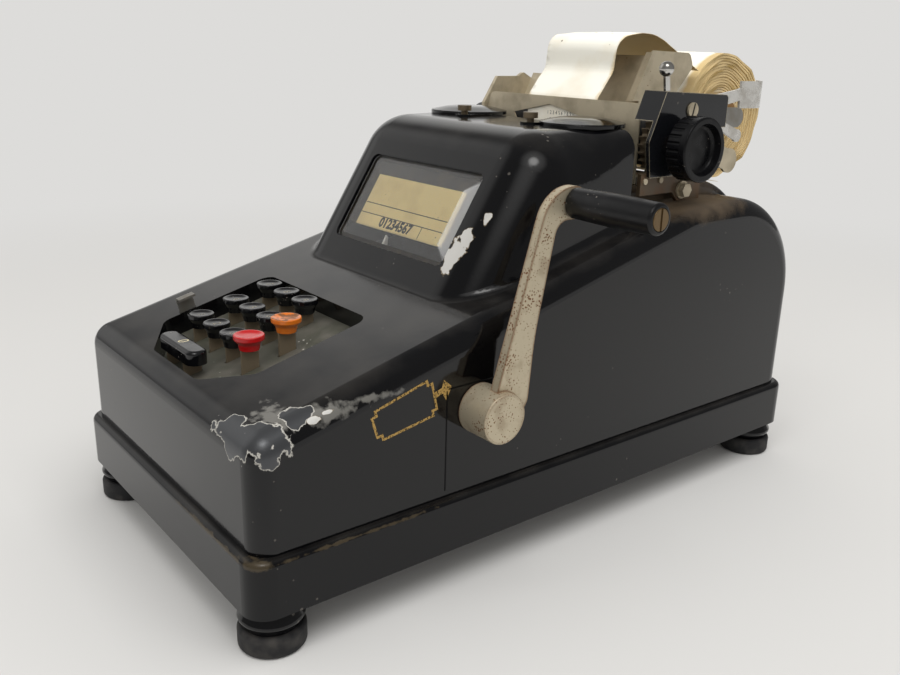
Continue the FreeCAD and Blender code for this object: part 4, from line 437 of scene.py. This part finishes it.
def thin_ink(name, colour, under, gaps):
    """Ink or leaf that has worn through to what is under it in small gaps."""
    finish = new_finish(name, colour, roughness=0.5, gloss=0.15)
    stain(finish, size=0.9, levels=(0.62 - gaps / 2, 0.66 - gaps / 2), colour=under)
    return finish


# Browned edges of paper in millimetres: how far they stray, and where the right and the left one run
EDGE_STRAY = 6
RIGHT_EDGE = (0.5, 4)
LEFT_EDGE = (4, 2)


def old_paper(colours, name, edges):
    """Calendered paper: matt and white, yellowed in clouds and along its edges, and tan underneath, partly
    from age and partly as painted shade.
    """
    finish = new_finish(name, colours.paper, roughness=0.75, gloss=0.15)
    tree = finish.tree
    stain(finish, size=26, levels=(0.45, 0.8), most=0.35, colour=colours.age)
    # Faces that look down, as inside the strip's arch, turn tan: partly age, partly painted shade
    normal = add_node(tree, "ShaderNodeNewGeometry").outputs["Normal"]
    up = add_node(tree, "ShaderNodeSeparateXYZ", {"Vector": normal}).outputs["Z"]
    lay_over(finish, up, (-0.1, -0.35), most=0.85, colour=colours.age)
    across = add_node(tree, "ShaderNodeSeparateXYZ", {"Vector": finish.place}).outputs["X"]
    cloud = add_node(tree, "ShaderNodeTexNoise", {
        "Vector": finish.place, "Scale": per_mm(9), "Detail": 5.0}).outputs["Fac"]
    level = add_node(tree, "ShaderNodeMath", {0: cloud, 1: EDGE_STRAY * MM, 2: across},
                     operation="MULTIPLY_ADD").outputs[0]
    low, high = edges
    right = [high + reach * MM for reach in RIGHT_EDGE]
    left = [low + reach * MM for reach in LEFT_EDGE]
    lay_over(finish, level, right, most=0.85, colour=colours.age)
    lay_over(finish, level, left, most=0.6, colour=colours.age)
    speckle(finish, pitch=7, radius=0.3, spread=0.55, colour=colours.tarnish)
    return finish


def square_to(lean):
    """Direction square to a face that slopes up to the rear."""
    return Vector((0, -math.sin(lean), math.cos(lean)))


def top_frame(node, lean=0.0):
    """A frame at the middle of a solid's top: x across, y up its slope, z square to it."""
    square = square_to(lean)
    slope = Vector((0, math.cos(lean), math.sin(lean)))
    places = [vert.co for vert in NODES[node].data.vertices]
    top = max(co.dot(square) for co in places)
    rim = [co for co in places if co.dot(square) > top - MM]
    across = (min(co.x for co in rim) + max(co.x for co in rim)) / 2
    along = (min(co.dot(slope) for co in rim) + max(co.dot(slope) for co in rim)) / 2
    axes = Matrix((Vector((1, 0, 0)), slope, square)).transposed().to_4x4()
    return Matrix.Translation(Vector((across, 0, 0)) + slope * along + square * top) @ axes


def dress(node, finish):
    """Give a solid its finish."""
    slots = NODES[node].data.materials
    slots.clear()
    slots.append(finish.material)


def merged_copy(node):
    """A bmesh of a solid with its corners merged, ready to be reshaped."""
    shape = bmesh.new()
    shape.from_mesh(NODES[node].data)
    bmesh.ops.remove_doubles(shape, verts=shape.verts, dist=WELD)
    return shape


def figures(text, size, place, squeeze=1.0, bold=0.0):
    """Plain figures as a flat bmesh, their middle at a place."""
    curve = bpy.data.curves.new("figures", "FONT")
    curve.body = text
    curve.size = size
    curve.offset = size * bold
    curve.align_x = "CENTER"
    curve.align_y = "CENTER"
    curve.resolution_u = 4
    holder = bpy.data.objects.new("figures", curve)
    mesh = bpy.data.meshes.new_from_object(holder)
    shape = bmesh.new()
    shape.from_mesh(mesh)
    bmesh.ops.remove_doubles(shape, verts=shape.verts, dist=WELD)
    bmesh.ops.transform(shape, matrix=place @ Matrix.Diagonal((squeeze, 1, 1, 1)), verts=shape.verts)
    bpy.data.objects.remove(holder)
    bpy.data.curves.remove(curve)
    bpy.data.meshes.remove(mesh)
    return shape


def add_rule(shape, place, across, along, width, height):
    """Add a printed rule to a flat bmesh, its middle and size in millimetres on a face."""
    middle = Matrix.Translation((across * MM, along * MM, 0))
    bmesh.ops.create_grid(shape, x_segments=1, y_segments=1, size=0.5,
                          matrix=place @ middle @ Matrix.Diagonal((width * MM, height * MM, 1, 1)))


def lay_on(shape, node, down, lift):
    """Drop a flat bmesh onto a solid, a little proud of it."""
    mesh = NODES[node].data
    surface = BVHTree.FromPolygons(
        [vert.co for vert in mesh.vertices], [face.vertices for face in mesh.polygons])
    for vert in shape.verts:
        hit = surface.ray_cast(vert.co - down * DROP, down)[0]
        if hit is None:
            raise RuntimeError(f"a mark lies beside {node}")
        vert.co = hit - down * lift


def place_piece(context, shape, name, finish, body, smooth=None):
    """Make a bmesh a piece that rides on a body."""
    mesh = bpy.data.meshes.new(name)
    shape.to_mesh(mesh)
    shape.free()
    mesh.materials.append(finish.material)
    if smooth is not None:
        mesh.shade_smooth()
        mesh.set_sharp_from_angle(angle=math.radians(smooth))
    piece = bpy.data.objects.new(name, mesh)
    context.scene.collection.objects.link(piece)
    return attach(piece, body)


class ADDER_OT_case(Operator):
    """Finish the case, base and feet"""

    bl_idname = "adder.case"
    bl_label = "Case, base and feet"
    base_gloss = 0.34

    def execute(self, context):
        colours = context.scene.adder_colours
        dress("case_shell", black_enamel(
            colours, "case_enamel", chips=CORNER_CHIPS, bright=WINDOW_CHIPS + EDGE_SCRAPES, worn=EDGE_WEAR,
            grimy=HUMP_GRIME))
        dress("base_frame", black_enamel(
            colours, "base_enamel", gloss=self.base_gloss, worn=LEDGE_WEAR, rub=colours.tarnish))
        plain = black_enamel(colours)
        for node in ("crank_side_panel", "bottom_plate", "foot_cups"):
            dress(node, plain)
        dress("foot_pads", dull_rubber(colours))
        return {"FINISHED"}


class ADDER_OT_plaque(Operator):
    """Lay the gilt border and arrow on the crank side of the case"""

    bl_idname = "adder.plaque"
    bl_label = "Side plaque"
    # Corners of the border and outline of the arrow, in millimetres behind the base's middle and up
    corners = ((-129.4, 99.5), (-96.4, 109.0), (-92.1, 90.5), (-124.8, 84.6))
    arrow = ((-94.2, 98.6), (-90.4, 99.8), (-88.3, 96.3), (-85.1, 102.3), (-89.7, 106.2), (-90.9, 102.6),
             (-94.8, 101.4))
    # The side's distance from the middle, the border's notches and line, and the strip of painted shade in
    # the seam round the panel, in millimetres
    side = 97.2
    notch = 2.4
    line = 1.2
    seam_width = 0.8
    panel_gap = 0.35
    seam_foot = 51

    def execute(self, context):
        colours, sizes = context.scene.adder_colours, context.scene.adder_sizes
        shape = bmesh.new()
        points = [spot(self.side, *corner) for corner in self.corners]
        rim = []
        for i, corner in enumerate(points):
            back = (points[i - 1] - corner).normalized() * self.notch * MM
            ahead = (points[(i + 1) % 4] - corner).normalized() * self.notch * MM
            rim += [corner + back, corner + back + ahead, corner + ahead]
        face = shape.faces.new([shape.verts.new(co) for co in rim])
        shape.normal_update()
        bmesh.ops.inset_individual(shape, faces=[face], thickness=self.line * MM, use_even_offset=True)
        bmesh.ops.delete(shape, geom=[face], context="FACES_ONLY")
        shape.faces.new([shape.verts.new(spot(self.side, *corner)) for corner in self.arrow])
        bmesh.ops.recalc_face_normals(shape, faces=shape.faces)
        lay_on(shape, "case_shell", Vector((-1, 0, 0)), sizes.mark_lift)
        # Lays a strip of painted shade in the seam round the panel under the crank
        self.seam(context, colours, sizes)
        gilt = thin_ink("worn_gilt", colours.gilt, colours.enamel, gaps=0.16)
        place_piece(context, shape, "side_plaque", gilt, "machine")
        return {"FINISHED"}

    def seam(self, context, colours, sizes):
        """Painted shade: a dark strip laid in the gap in front of and above the panel under the crank."""
        low, high = (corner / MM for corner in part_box("crank_side_panel"))
        edge = self.seam_width / 2 + self.panel_gap
        face = Matrix(((0, 0, 1, spot(self.side, 0, 0).x), (1, 0, 0, 0), (0, 1, 0, 0), (0, 0, 0, 1)))
        shape = bmesh.new()
        rise = high.z - self.seam_foot
        add_rule(shape, face, low.y - edge, self.seam_foot + rise / 2, self.seam_width, rise)
        add_rule(shape, face, (low.y + high.y) / 2, high.z + edge, high.y - low.y, self.seam_width)
        lay_on(shape, "case_shell", Vector((-1, 0, 0)), sizes.mark_lift)
        shadow = thin_ink("seam_shadow", colours.seam, colours.enamel, gaps=0.0)
        place_piece(context, shape, "panel_seam_shade", shadow, "machine")


class ADDER_OT_keyboard(Operator):
    """Finish the keys and their guide plate"""

    bl_idname = "adder.keyboard"
    bl_label = "Keyboard"
    # Heights of the figures on the keys and on the bar, and how far the orange cap's top is browned
    figure_height = 6 * MM
    zero_height = 8 * MM
    scorch = 0.9

    def execute(self, context):
        colours, sizes = context.scene.adder_colours, context.scene.adder_sizes
        legend = thin_ink("key_legend", colours.legend, colours.bakelite, gaps=0.12)
        cream = thin_ink("bar_legend", colours.cream, colours.bakelite, gaps=0.02)
        for digit in range(10):
            node = f"key_{digit}"
            dress(node, cap_on_stem(colours, sizes, node, colours.bakelite, colours.dust))
            height = self.figure_height if digit else self.zero_height
            shape = figures(str(digit), height, top_frame(node))
            lay_on(shape, node, Vector((0, 0, -1)), sizes.mark_lift)
            ink = legend if digit else cream
            place_piece(context, shape, f"{node}_figure", ink, f"{node}_body")
        dress("key_red", cap_on_stem(colours, sizes, "key_red", colours.red, colours.rust))
        dress("key_orange", cap_on_stem(
            colours, sizes, "key_orange", colours.orange, colours.rust, self.scorch))
        dress("tab_key", machined_metal("tab_steel", colours.steel, colours.stem, roughness=0.4))
        dress("keyboard_plate", guide_plate_paint(colours))
        return {"FINISHED"}


class ADDER_OT_window(Operator):
    """Finish the window and print its card"""

    bl_idname = "adder.window"
    bl_label = "Window"
    # Rules on the card: middle and size in millimetres from the card's middle
    rules = ((0, -2.2, 76, 0.5), (0, -8.3, 76, 0.5), (19, -11.7, 0.5, 6.6))
    # Digits on the card: their middle, height, width to height and the weight of their strokes
    digits = "01234567"
    digits_middle = (-3 * MM, -11.7 * MM, 0)
    digit_height = 7.6 * MM
    digit_width = 0.95
    digit_weight = 0.045

    def execute(self, context):
        colours, sizes = context.scene.adder_colours, context.scene.adder_sizes
        dress("window_glass", window_pane())
        dress("window_card", printed_card(colours))
        dress("window_retainer", machined_metal(
            "holder_steel", colours.holder, colours.tarnish, roughness=0.5, metallic=0.3))
        place = top_frame("window_card", sizes.window_lean)
        middle = place @ Matrix.Translation(self.digits_middle)
        shape = figures(self.digits, self.digit_height, middle, self.digit_width, self.digit_weight)
        for rule in self.rules:
            add_rule(shape, place, *rule)
        lay_on(shape, "window_card", -square_to(sizes.window_lean), sizes.mark_lift)
        ink = thin_ink("card_ink", colours.ink, colours.tarnish, gaps=0.0)
        place_piece(context, shape, "card_print", ink, "machine")
        return {"FINISHED"}


class ADDER_OT_crank(Operator):
    """Finish the crank"""

    bl_idname = "adder.crank"
    bl_label = "Crank"

    def execute(self, context):
        colours = context.scene.adder_colours
        dress("crank_arm", pitted_nickel(colours))
        dress("crank_grip", moulded_cap(
            "grip_bakelite", colours.bakelite, colours.dust, roughness=0.3, gloss=0.32))
        dress("grip_pin", machined_metal("pin_brass", colours.brass, colours.tarnish, roughness=0.35))
        return {"FINISHED"}


class ADDER_OT_carriage(Operator):
    """Finish the carriage"""

    bl_idname = "adder.carriage"
    bl_label = "Carriage"
    # The slotted screw: its face from the base's middle, the size of the painted shade in its slot and how
    # far it is turned
    screw = (81, 90, 217)
    slot_width = 1.1
    slot_length = 7.4
    screw_turn = math.radians(-14)

    def execute(self, context):
        colours = context.scene.adder_colours
        nickel = nickel_plate(colours)
        for node in ("end_plate_left", "ribbon_shield", "paper_table", "paper_guide", "broad_lever",
                     "carriage_fastenings"):
            dress(node, nickel)
        steel = machined_metal("carriage_steel", colours.steel, colours.tarnish, roughness=0.35)
        for node in ("carriage_bars", "roll_arms"):
            dress(node, steel)
        dress("carriage_bracket", machined_metal(
            "bracket_steel", colours.grime, colours.rust, roughness=0.4, metallic=0.3))
        bright = machined_metal(
            "lever_chrome", colours.chrome, colours.tarnish, roughness=0.25, metallic=0.35)
        for node in ("release_lever", "thin_lever"):
            dress(node, bright)
        dress("ratchet_wheel", machined_metal("ratchet_steel", colours.stem, colours.grime, roughness=0.4))
        dress("platen_shaft", machined_metal("collar_brass", colours.brass, colours.tarnish, roughness=0.35))
        dress("end_plate_right", worn_enamel(colours))
        dress("ball_lever", machined_metal(
            "ball_chrome", colours.chrome, colours.tarnish, roughness=0.1, metallic=1.0))
        dress("platen_roller", dull_rubber(colours))
        knob = moulded_cap("knob_bakelite", colours.bakelite, colours.dust, roughness=0.26, gloss=0.2)
        for node in ("platen_knob_right", "platen_knob_left"):
            dress(node, knob)
        # Lays a strip of painted shade in the screw's slot
        self.slot(context, colours, context.scene.adder_sizes)
        return {"FINISHED"}

    def slot(self, context, colours, sizes):
        """Painted shade: a dark strip where the slot runs across the screw on the right end plate."""
        face = Matrix(((0, 0, 1), (1, 0, 0), (0, 1, 0))).to_4x4()
        place = Matrix.Translation(spot(*self.screw)) @ face @ Matrix.Rotation(self.screw_turn, 4, "Z")
        shape = bmesh.new()
        add_rule(shape, place, 0, 0, self.slot_width, self.slot_length)
        lay_on(shape, "carriage_fastenings", Vector((-1, 0, 0)), sizes.mark_lift)
        shadow = thin_ink("slot_shadow", colours.seam, colours.grime, gaps=0.0)
        place_piece(context, shape, "screw_slot", shadow, "machine")


class ADDER_OT_spools(Operator):
    """Finish the ribbon spools and their covers"""

    bl_idname = "adder.spools"
    bl_label = "Ribbon spools"

    def execute(self, context):
        colours = context.scene.adder_colours
        cover = black_enamel(colours, "cover_enamel")
        for node in ("spool_covers", "ribbon_spool_left", "ribbon_spool_right"):
            dress(node, cover)
        dress("cover_screws", machined_metal(
            "screw_steel", colours.stem, colours.grime, roughness=0.35, metallic=0.8))
        return {"FINISHED"}


class ADDER_OT_paper(Operator):
    """Make the waved paper strip, its print and the layered roll"""

    bl_idname = "adder.paper"
    bl_label = "Paper"
    # The strip: the grid it is cut into, where it stands free of its guides, and how it waves and frays
    grid = 4 * MM
    loose_above = 228 * MM
    loose_within = 15 * MM
    wave = 1.1 * MM
    wave_rate = 55
    fray = 0.5 * MM
    fray_rate = 120
    fray_start = (3, 1, 7)
    # Typed rows: their heights, their middle from the base's middle, and the height of the type
    typed = "1 2 3 4 5 6 7 8 9 0"
    row_heights = (206.5, 210.5)
    row_middle = (3, 67)
    type_height = 3 * MM
    # The roll: its tube, the dish of its right end, its ease inside its solid, and how deep it is browned
    core = 11 * MM
    bore = 6.2 * MM
    dish = 6 * MM
    ease = 0.05 * MM
    browned = 8 * MM
    turn_steps = 120
    # Its layers: how unevenly they are wound, how far they stand back, and the grooves between them
    uneven = 0.6
    uneven_rate = 0.9
    stand_back = 0.9 * MM
    groove = 0.8 * MM
    groove_start = 0.8
    groove_bed = 0.9
    # Rings of its left end: how far in from it, and their part of the roll's radius
    left_rings = ((0.4 * MM, 0.6), (0.9 * MM, 0.62))
    tube_lip = 1.05
    # Its right edge: where it is loose, how deep it ripples and is torn, and how far it curls in
    loose_from = 1.1
    ripple_depth = 1.6 * MM
    ripple_rate = 70
    ripple_layer_rate = 260
    torn_from = 0.7
    torn_within = 0.3
    tear_depth = 6 * MM
    tear_rate = 45
    tear_start = 9
    curl_from = 0.5
    curl = 0.05
    curl_rate = 80

    def execute(self, context):
        colours, sizes = context.scene.adder_colours, context.scene.adder_sizes
        low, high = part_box("paper_strip")
        paper = old_paper(colours, "strip_paper", (low.x, high.x))
        strip = self.strip(low, high)
        piece = place_piece(context, strip, "waved_strip", paper, "machine", 40)
        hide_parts("paper_strip")
        ink = thin_ink("typed_ink", colours.ink, colours.paper, gaps=0.1)
        place_piece(context, self.rows(sizes), "typed_rows", ink, "machine")
        roll_paper = self.roll_paper(colours, low, high)
        roll = self.roll(sizes.roll_layer)
        piece = place_piece(context, roll, "layered_roll", roll_paper, "roll", 30)
        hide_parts("paper_roll")
        return {"FINISHED"}

    def rows(self, sizes):
        """Rows of figures typed on the strip above the platen."""
        upright = Matrix(((1, 0, 0, 0), (0, 0, -1, 0), (0, 1, 0, 0), (0, 0, 0, 1)))
        rows = bmesh.new()
        for up in self.row_heights:
            place = Matrix.Translation(spot(*self.row_middle, up)) @ upright
            row = figures(self.typed, self.type_height, place)
            lay_on(row, "paper_strip", Vector((0, 1, 0)), sizes.mark_lift)
            mesh = bpy.data.meshes.new("row")
            row.to_mesh(mesh)
            row.free()
            rows.from_mesh(mesh)
            bpy.data.meshes.remove(mesh)
        return rows

    def roll_paper(self, colours, low, high):
        """Paper of the roll: its end browned all over, and a board tube in its middle."""
        finish = old_paper(colours, "roll_paper", (low.x, high.x - self.browned))
        tree = finish.tree
        middle = sum(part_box("paper_roll"), Vector()) / 2
        away = add_node(tree, "ShaderNodeVectorMath", {0: finish.place, 1: middle},
                        operation="SUBTRACT").outputs[0]
        out = add_node(tree, "ShaderNodeVectorMath", {0: away, 1: (0, 1, 1)},
                       operation="MULTIPLY").outputs[0]
        reach = add_node(tree, "ShaderNodeVectorMath", {0: out}, operation="LENGTH").outputs["Value"]
        lay_over(finish, reach, (self.core + CLEAN_LINE, self.core), colour=colours.core)
        return finish

    def strip(self, low, high):
        """The strip cut into a grid and waved where it stands free of its guides."""
        shape = merged_copy("paper_strip")
        for axis in range(3):
            normal = Vector([1.0 if i == axis else 0.0 for i in range(3)])
            at = low[axis] + self.grid
            while at < high[axis]:
                bmesh.ops.bisect_plane(shape, geom=shape.verts[:] + shape.edges[:] + shape.faces[:],
                                       dist=WELD, plane_co=normal * at, plane_no=normal)
                at += self.grid
        middle, half = (low.x + high.x) / 2, (high.x - low.x) / 2
        for vert in shape.verts:
            free = min(max((vert.co.z - self.loose_above) / self.loose_within, 0), 1)
            edge = abs(vert.co.x - middle) / half
            ripple = noise.noise(vert.co * self.wave_rate)
            sway = noise.noise(vert.co * self.fray_rate + Vector(self.fray_start))
            vert.co += Vector((
                -math.copysign(self.fray * (1 + sway), vert.co.x - middle) * free * edge ** 8,
                self.wave * ripple * free * edge ** 2,
                -self.wave * (0.5 + ripple) * free * edge ** 2))
        return shape

    def roll(self, layer):
        """The roll's layers, wound unevenly and torn along their right edge, turned about its axle."""
        low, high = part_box("paper_roll")
        axle = (low + high) / 2
        outer = (high.z - low.z) / 2 - self.ease
        shape = bmesh.new()
        profile = []
        radius = outer
        while radius > self.core + layer * (1 + self.uneven):
            drift = noise.noise(Vector((radius / MM * self.uneven_rate, 2, 5)))
            thick = layer * (1 + self.uneven * drift)
            dished = self.dish * (outer - radius) / (outer - self.core)
            end = high.x - (dished + self.stand_back * (1 + drift))
            profile += [(end, radius), (end, radius - thick * self.groove_start),
                        (end - self.groove, radius - thick * self.groove_bed)]
            radius -= thick
        profile += [(high.x - self.dish, self.core), (high.x, self.core), (high.x, self.bore),
                    (low.x, self.bore), (low.x, self.core), (low.x + MM, self.core * self.tube_lip)]
        profile += [(low.x + inset, outer * part) for inset, part in self.left_rings]
        profile.append((low.x, outer))
        verts = [shape.verts.new((across, axle.y, axle.z + radius)) for across, radius in profile]
        edges = [shape.edges.new((verts[i - 1], verts[i])) for i in range(len(verts))]
        bmesh.ops.spin(shape, geom=verts + edges, cent=axle, axis=(1, 0, 0), angle=math.tau,
                       steps=self.turn_steps, use_merge=True)
        bmesh.ops.remove_doubles(shape, verts=shape.verts, dist=WELD)
        for vert in shape.verts:
            out = vert.co - Vector((vert.co.x, axle.y, axle.z))
            if vert.co.x > axle.x and out.length > self.core * self.loose_from:
                _, y, z = out * self.ripple_rate
                ripple = noise.noise(Vector((y, z, out.length * self.ripple_layer_rate)))
                _, y, z = out * self.tear_rate
                tear = noise.noise(Vector((y, z, self.tear_start)))
                loose = max(0, out.length / outer - self.torn_from) / self.torn_within
                vert.co.x += self.ripple_depth * (ripple - 1) + self.tear_depth * min(0, tear) * loose
                edge = max(0, (vert.co.x - axle.x) / (high.x - axle.x) - self.curl_from)
                vert.co -= out * self.curl * edge * (1 + noise.noise(out * self.curl_rate))
        bmesh.ops.recalc_face_normals(shape, faces=shape.faces)
        return shape


class ADDER_OT_inside(Operator):
    """Finish the mechanism inside the case"""

    bl_idname = "adder.inside"
    bl_label = "Inside"
    tip = 7 * MM

    def execute(self, context):
        colours = context.scene.adder_colours
        steel = machined_metal("inner_steel", colours.steel, colours.tarnish, roughness=0.45)
        for node in ("inner_frames", "frame_rods", "crank_shaft", "drive_gear", "counting_wheels",
                     "type_bars", "type_guide", "spool_bracket"):
            dress(node, steel)
        dress("stop_slider", self.white_tipped(colours))
        dress("crank_bushes", machined_metal("bush_brass", colours.brass, colours.tarnish, roughness=0.4))
        return {"FINISHED"}

    def white_tipped(self, colours):
        """Steel of the slider, its pointer painted white at the tip."""
        finish = machined_metal("slider_steel", colours.steel, colours.tarnish, roughness=0.45)
        height = add_node(finish.tree, "ShaderNodeSeparateXYZ", {"Vector": finish.place}).outputs["Z"]
        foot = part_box("stop_slider")[1].z - self.tip
        lay_over(finish, height, (foot, foot + CLEAN_LINE), colour=colours.paper, roughness=0.5,
                 metallic=0.0)
        return finish


class ADDER_OT_stage(Operator):
    """Set the floor, light and camera"""

    bl_idname = "adder.stage"
    bl_label = "Stage"
    # The cloth is plain near the machine and fades into the background further off
    floor_reach = 12
    cloth_near = 0.45
    cloth_far = 1.1
    # It fades sooner in front, on the side that faces the view
    cloth_side = (0.78, -0.62, 0)
    edge_near = 0.24
    edge_far = 0.4
    # Even light all round, in which gloss shows a dim room with pale walls behind and in front on the left
    # and a lamp above: direction, cosines between which each grows, and strength
    fill_light = 1.15
    room_light = 0.3
    glows = (
        ((-0.8, 0.55, 0.25), 0.85, 0.97, 1.25),
        ((-0.79, -0.4, 0.47), 0.85, 0.97, 1.0),
        ((0.41, -0.37, 0.84), 0.88, 0.98, 1.6),
        ((0.41, -0.37, 0.84), 0.98, 0.997, 9.0),
    )
    # Soft lamps, which gloss doesn't show: name, place, size and power
    softboxes = (
        ("softbox_above", (0.5, -0.1, 1.5), 1.2, 13),
        ("softbox_front", (0.5, -1.5, 1.3), 0.7, 4),
    )
    lamp_aim = Vector((0, 0, 0.1))
    # The view: its turn, rise and roll in degrees, the spot it looks at in millimetres, and its distance
    view_angles = (51.32, 17.95, 1.41)
    view_spot = (-11.34, 0, 80.44)
    view_distance = 0.54396

    def execute(self, context):
        colours = context.scene.adder_colours
        self.floor(context, colours)
        self.world(context, colours)
        self.lamps(context)
        self.camera(context)
        context.scene.view_settings.view_transform = "Standard"
        return {"FINISHED"}

    def floor(self, context, colours):
        """Pale cloth round the machine, which glows like the background where it has faded."""
        shape = bmesh.new()
        bmesh.ops.create_grid(shape, x_segments=1, y_segments=1, size=self.floor_reach)
        mesh = bpy.data.meshes.new("floor")
        shape.to_mesh(mesh)
        shape.free()
        finish = new_finish("floor_cloth", colours.cloth, roughness=0.9, gloss=0.0)
        tree, place, shader = finish.tree, finish.place, finish.shader
        rays = add_node(tree, "ShaderNodeLightPath").outputs
        reach = add_node(tree, "ShaderNodeVectorMath", {0: place}, operation="LENGTH").outputs["Value"]
        far = add_node(tree, "ShaderNodeMapRange", {
            "Value": reach, "From Min": self.cloth_near, "From Max": self.cloth_far},
            interpolation_type="SMOOTHSTEP").outputs["Result"]
        ahead = add_node(tree, "ShaderNodeVectorMath", {0: place, 1: self.cloth_side},
                         operation="DOT_PRODUCT").outputs["Value"]
        ended = add_node(tree, "ShaderNodeMapRange", {
            "Value": ahead, "From Min": self.edge_near, "From Max": self.edge_far},
            interpolation_type="SMOOTHSTEP").outputs["Result"]
        far = add_node(tree, "ShaderNodeMath", {0: far, 1: ended}, operation="MAXIMUM").outputs[0]
        seen = add_node(tree, "ShaderNodeMath", {0: rays["Is Camera Ray"], 1: rays["Is Glossy Ray"]},
                        operation="MAXIMUM").outputs[0]
        seen = add_node(tree, "ShaderNodeMath", {0: seen, 1: rays["Is Transmission Ray"]},
                        operation="MAXIMUM").outputs[0]
        glow = add_node(tree, "ShaderNodeMath", {0: far, 1: seen}, operation="MULTIPLY").outputs[0]
        lay_over(finish, far, (0, 1), colour=(0, 0, 0))
        shader.inputs["Emission Color"].default_value = opaque(colours.backdrop)
        tree.links.new(glow, shader.inputs["Emission Strength"])
        mesh.materials.append(finish.material)
        floor = bpy.data.objects.new("floor", mesh)
        context.scene.collection.objects.link(floor)

    def world(self, context, colours):
        """The even background, the light all round and the room that gloss shows."""
        world = bpy.data.worlds.new("studio")
        context.scene.world = world
        world.use_nodes = True
        tree = world.node_tree
        tree.nodes.clear()
        rays = add_node(tree, "ShaderNodeLightPath").outputs
        way = add_node(tree, "ShaderNodeTexCoord").outputs["Generated"]
        glow = self.room_light
        for side, start, full, light in self.glows:
            turn = add_node(tree, "ShaderNodeVectorMath", {0: way, 1: Vector(side).normalized()},
                            operation="DOT_PRODUCT").outputs["Value"]
            glow = add_node(tree, "ShaderNodeMapRange", {
                "Value": turn, "From Min": start, "From Max": full, "To Min": glow, "To Max": light},
                interpolation_type="SMOOTHSTEP").outputs["Result"]
        lit = add_node(tree, "ShaderNodeMix", {
            "Factor": rays["Is Glossy Ray"], "A": self.fill_light, "B": glow}, data_type="FLOAT").outputs[0]
        strength = add_node(tree, "ShaderNodeMix", {
            "Factor": rays["Is Camera Ray"], "A": lit, "B": 1.0}, data_type="FLOAT").outputs[0]
        light = add_node(tree, "ShaderNodeBackground", {
            "Color": opaque(colours.backdrop), "Strength": strength})
        add_node(tree, "ShaderNodeOutputWorld", {"Surface": light.outputs["Background"]})

    def lamps(self, context):
        """Soft lamps above and in front, turned to the machine."""
        for name, place, size, power in self.softboxes:
            data = bpy.data.lights.new(name, "AREA")
            data.size = size
            data.energy = power
            lamp = bpy.data.objects.new(name, data)
            lamp.visible_glossy = False
            lamp.location = place
            lamp.rotation_euler = (self.lamp_aim - lamp.location).to_track_quat("-Z", "Y").to_euler()
            context.scene.collection.objects.link(lamp)

    def camera(self, context):
        """The view from the front right, a little above."""
        turn, rise, roll = (math.radians(angle) for angle in self.view_angles)
        back = Vector((math.sin(turn) * math.cos(rise), -math.cos(turn) * math.cos(rise), math.sin(rise)))
        level = Vector((math.cos(turn), math.sin(turn), 0))
        above = back.cross(level)
        right = level * math.cos(roll) + above * math.sin(roll)
        up = above * math.cos(roll) - level * math.sin(roll)
        data = bpy.data.cameras.new("camera")
        data.lens = context.scene.adder_sizes.camera_lens
        camera = bpy.data.objects.new("camera", data)
        axes = Matrix((right, up, back)).transposed().to_4x4()
        place = spot(*self.view_spot) + back * self.view_distance
        camera.matrix_world = Matrix.Translation(place) @ axes
        context.scene.collection.objects.link(camera)
        context.scene.camera = camera


PIECES = (
    ADDER_OT_case, ADDER_OT_plaque, ADDER_OT_keyboard, ADDER_OT_window, ADDER_OT_crank, ADDER_OT_carriage,
    ADDER_OT_spools, ADDER_OT_paper, ADDER_OT_inside, ADDER_OT_stage,
)


class ADDER_PT_sidebar(Panel):
    """Lists the machine's pieces"""

    bl_label = "Adding machine"
    bl_idname = "ADDER_PT_sidebar"
    bl_space_type = "VIEW_3D"
    bl_region_type = "UI"
    bl_category = "Adding machine"

    def draw(self, context):
        for piece in PIECES:
            self.layout.operator(piece.bl_idname)


CLASSES = (AdderColours, AdderSizes, *PIECES, ADDER_PT_sidebar)


def register():
    for kind in CLASSES:
        bpy.utils.register_class(kind)
    bpy.types.Scene.adder_colours = PointerProperty(type=AdderColours)
    bpy.types.Scene.adder_sizes = PointerProperty(type=AdderSizes)


def unregister():
    del bpy.types.Scene.adder_sizes
    del bpy.types.Scene.adder_colours
    for kind in reversed(CLASSES):
        bpy.utils.unregister_class(kind)


def main():
    register()
    for piece in PIECES:
        group, name = piece.bl_idname.split(".")
        getattr(getattr(bpy.ops, group), name)()


if __name__ == "__main__":
    main()
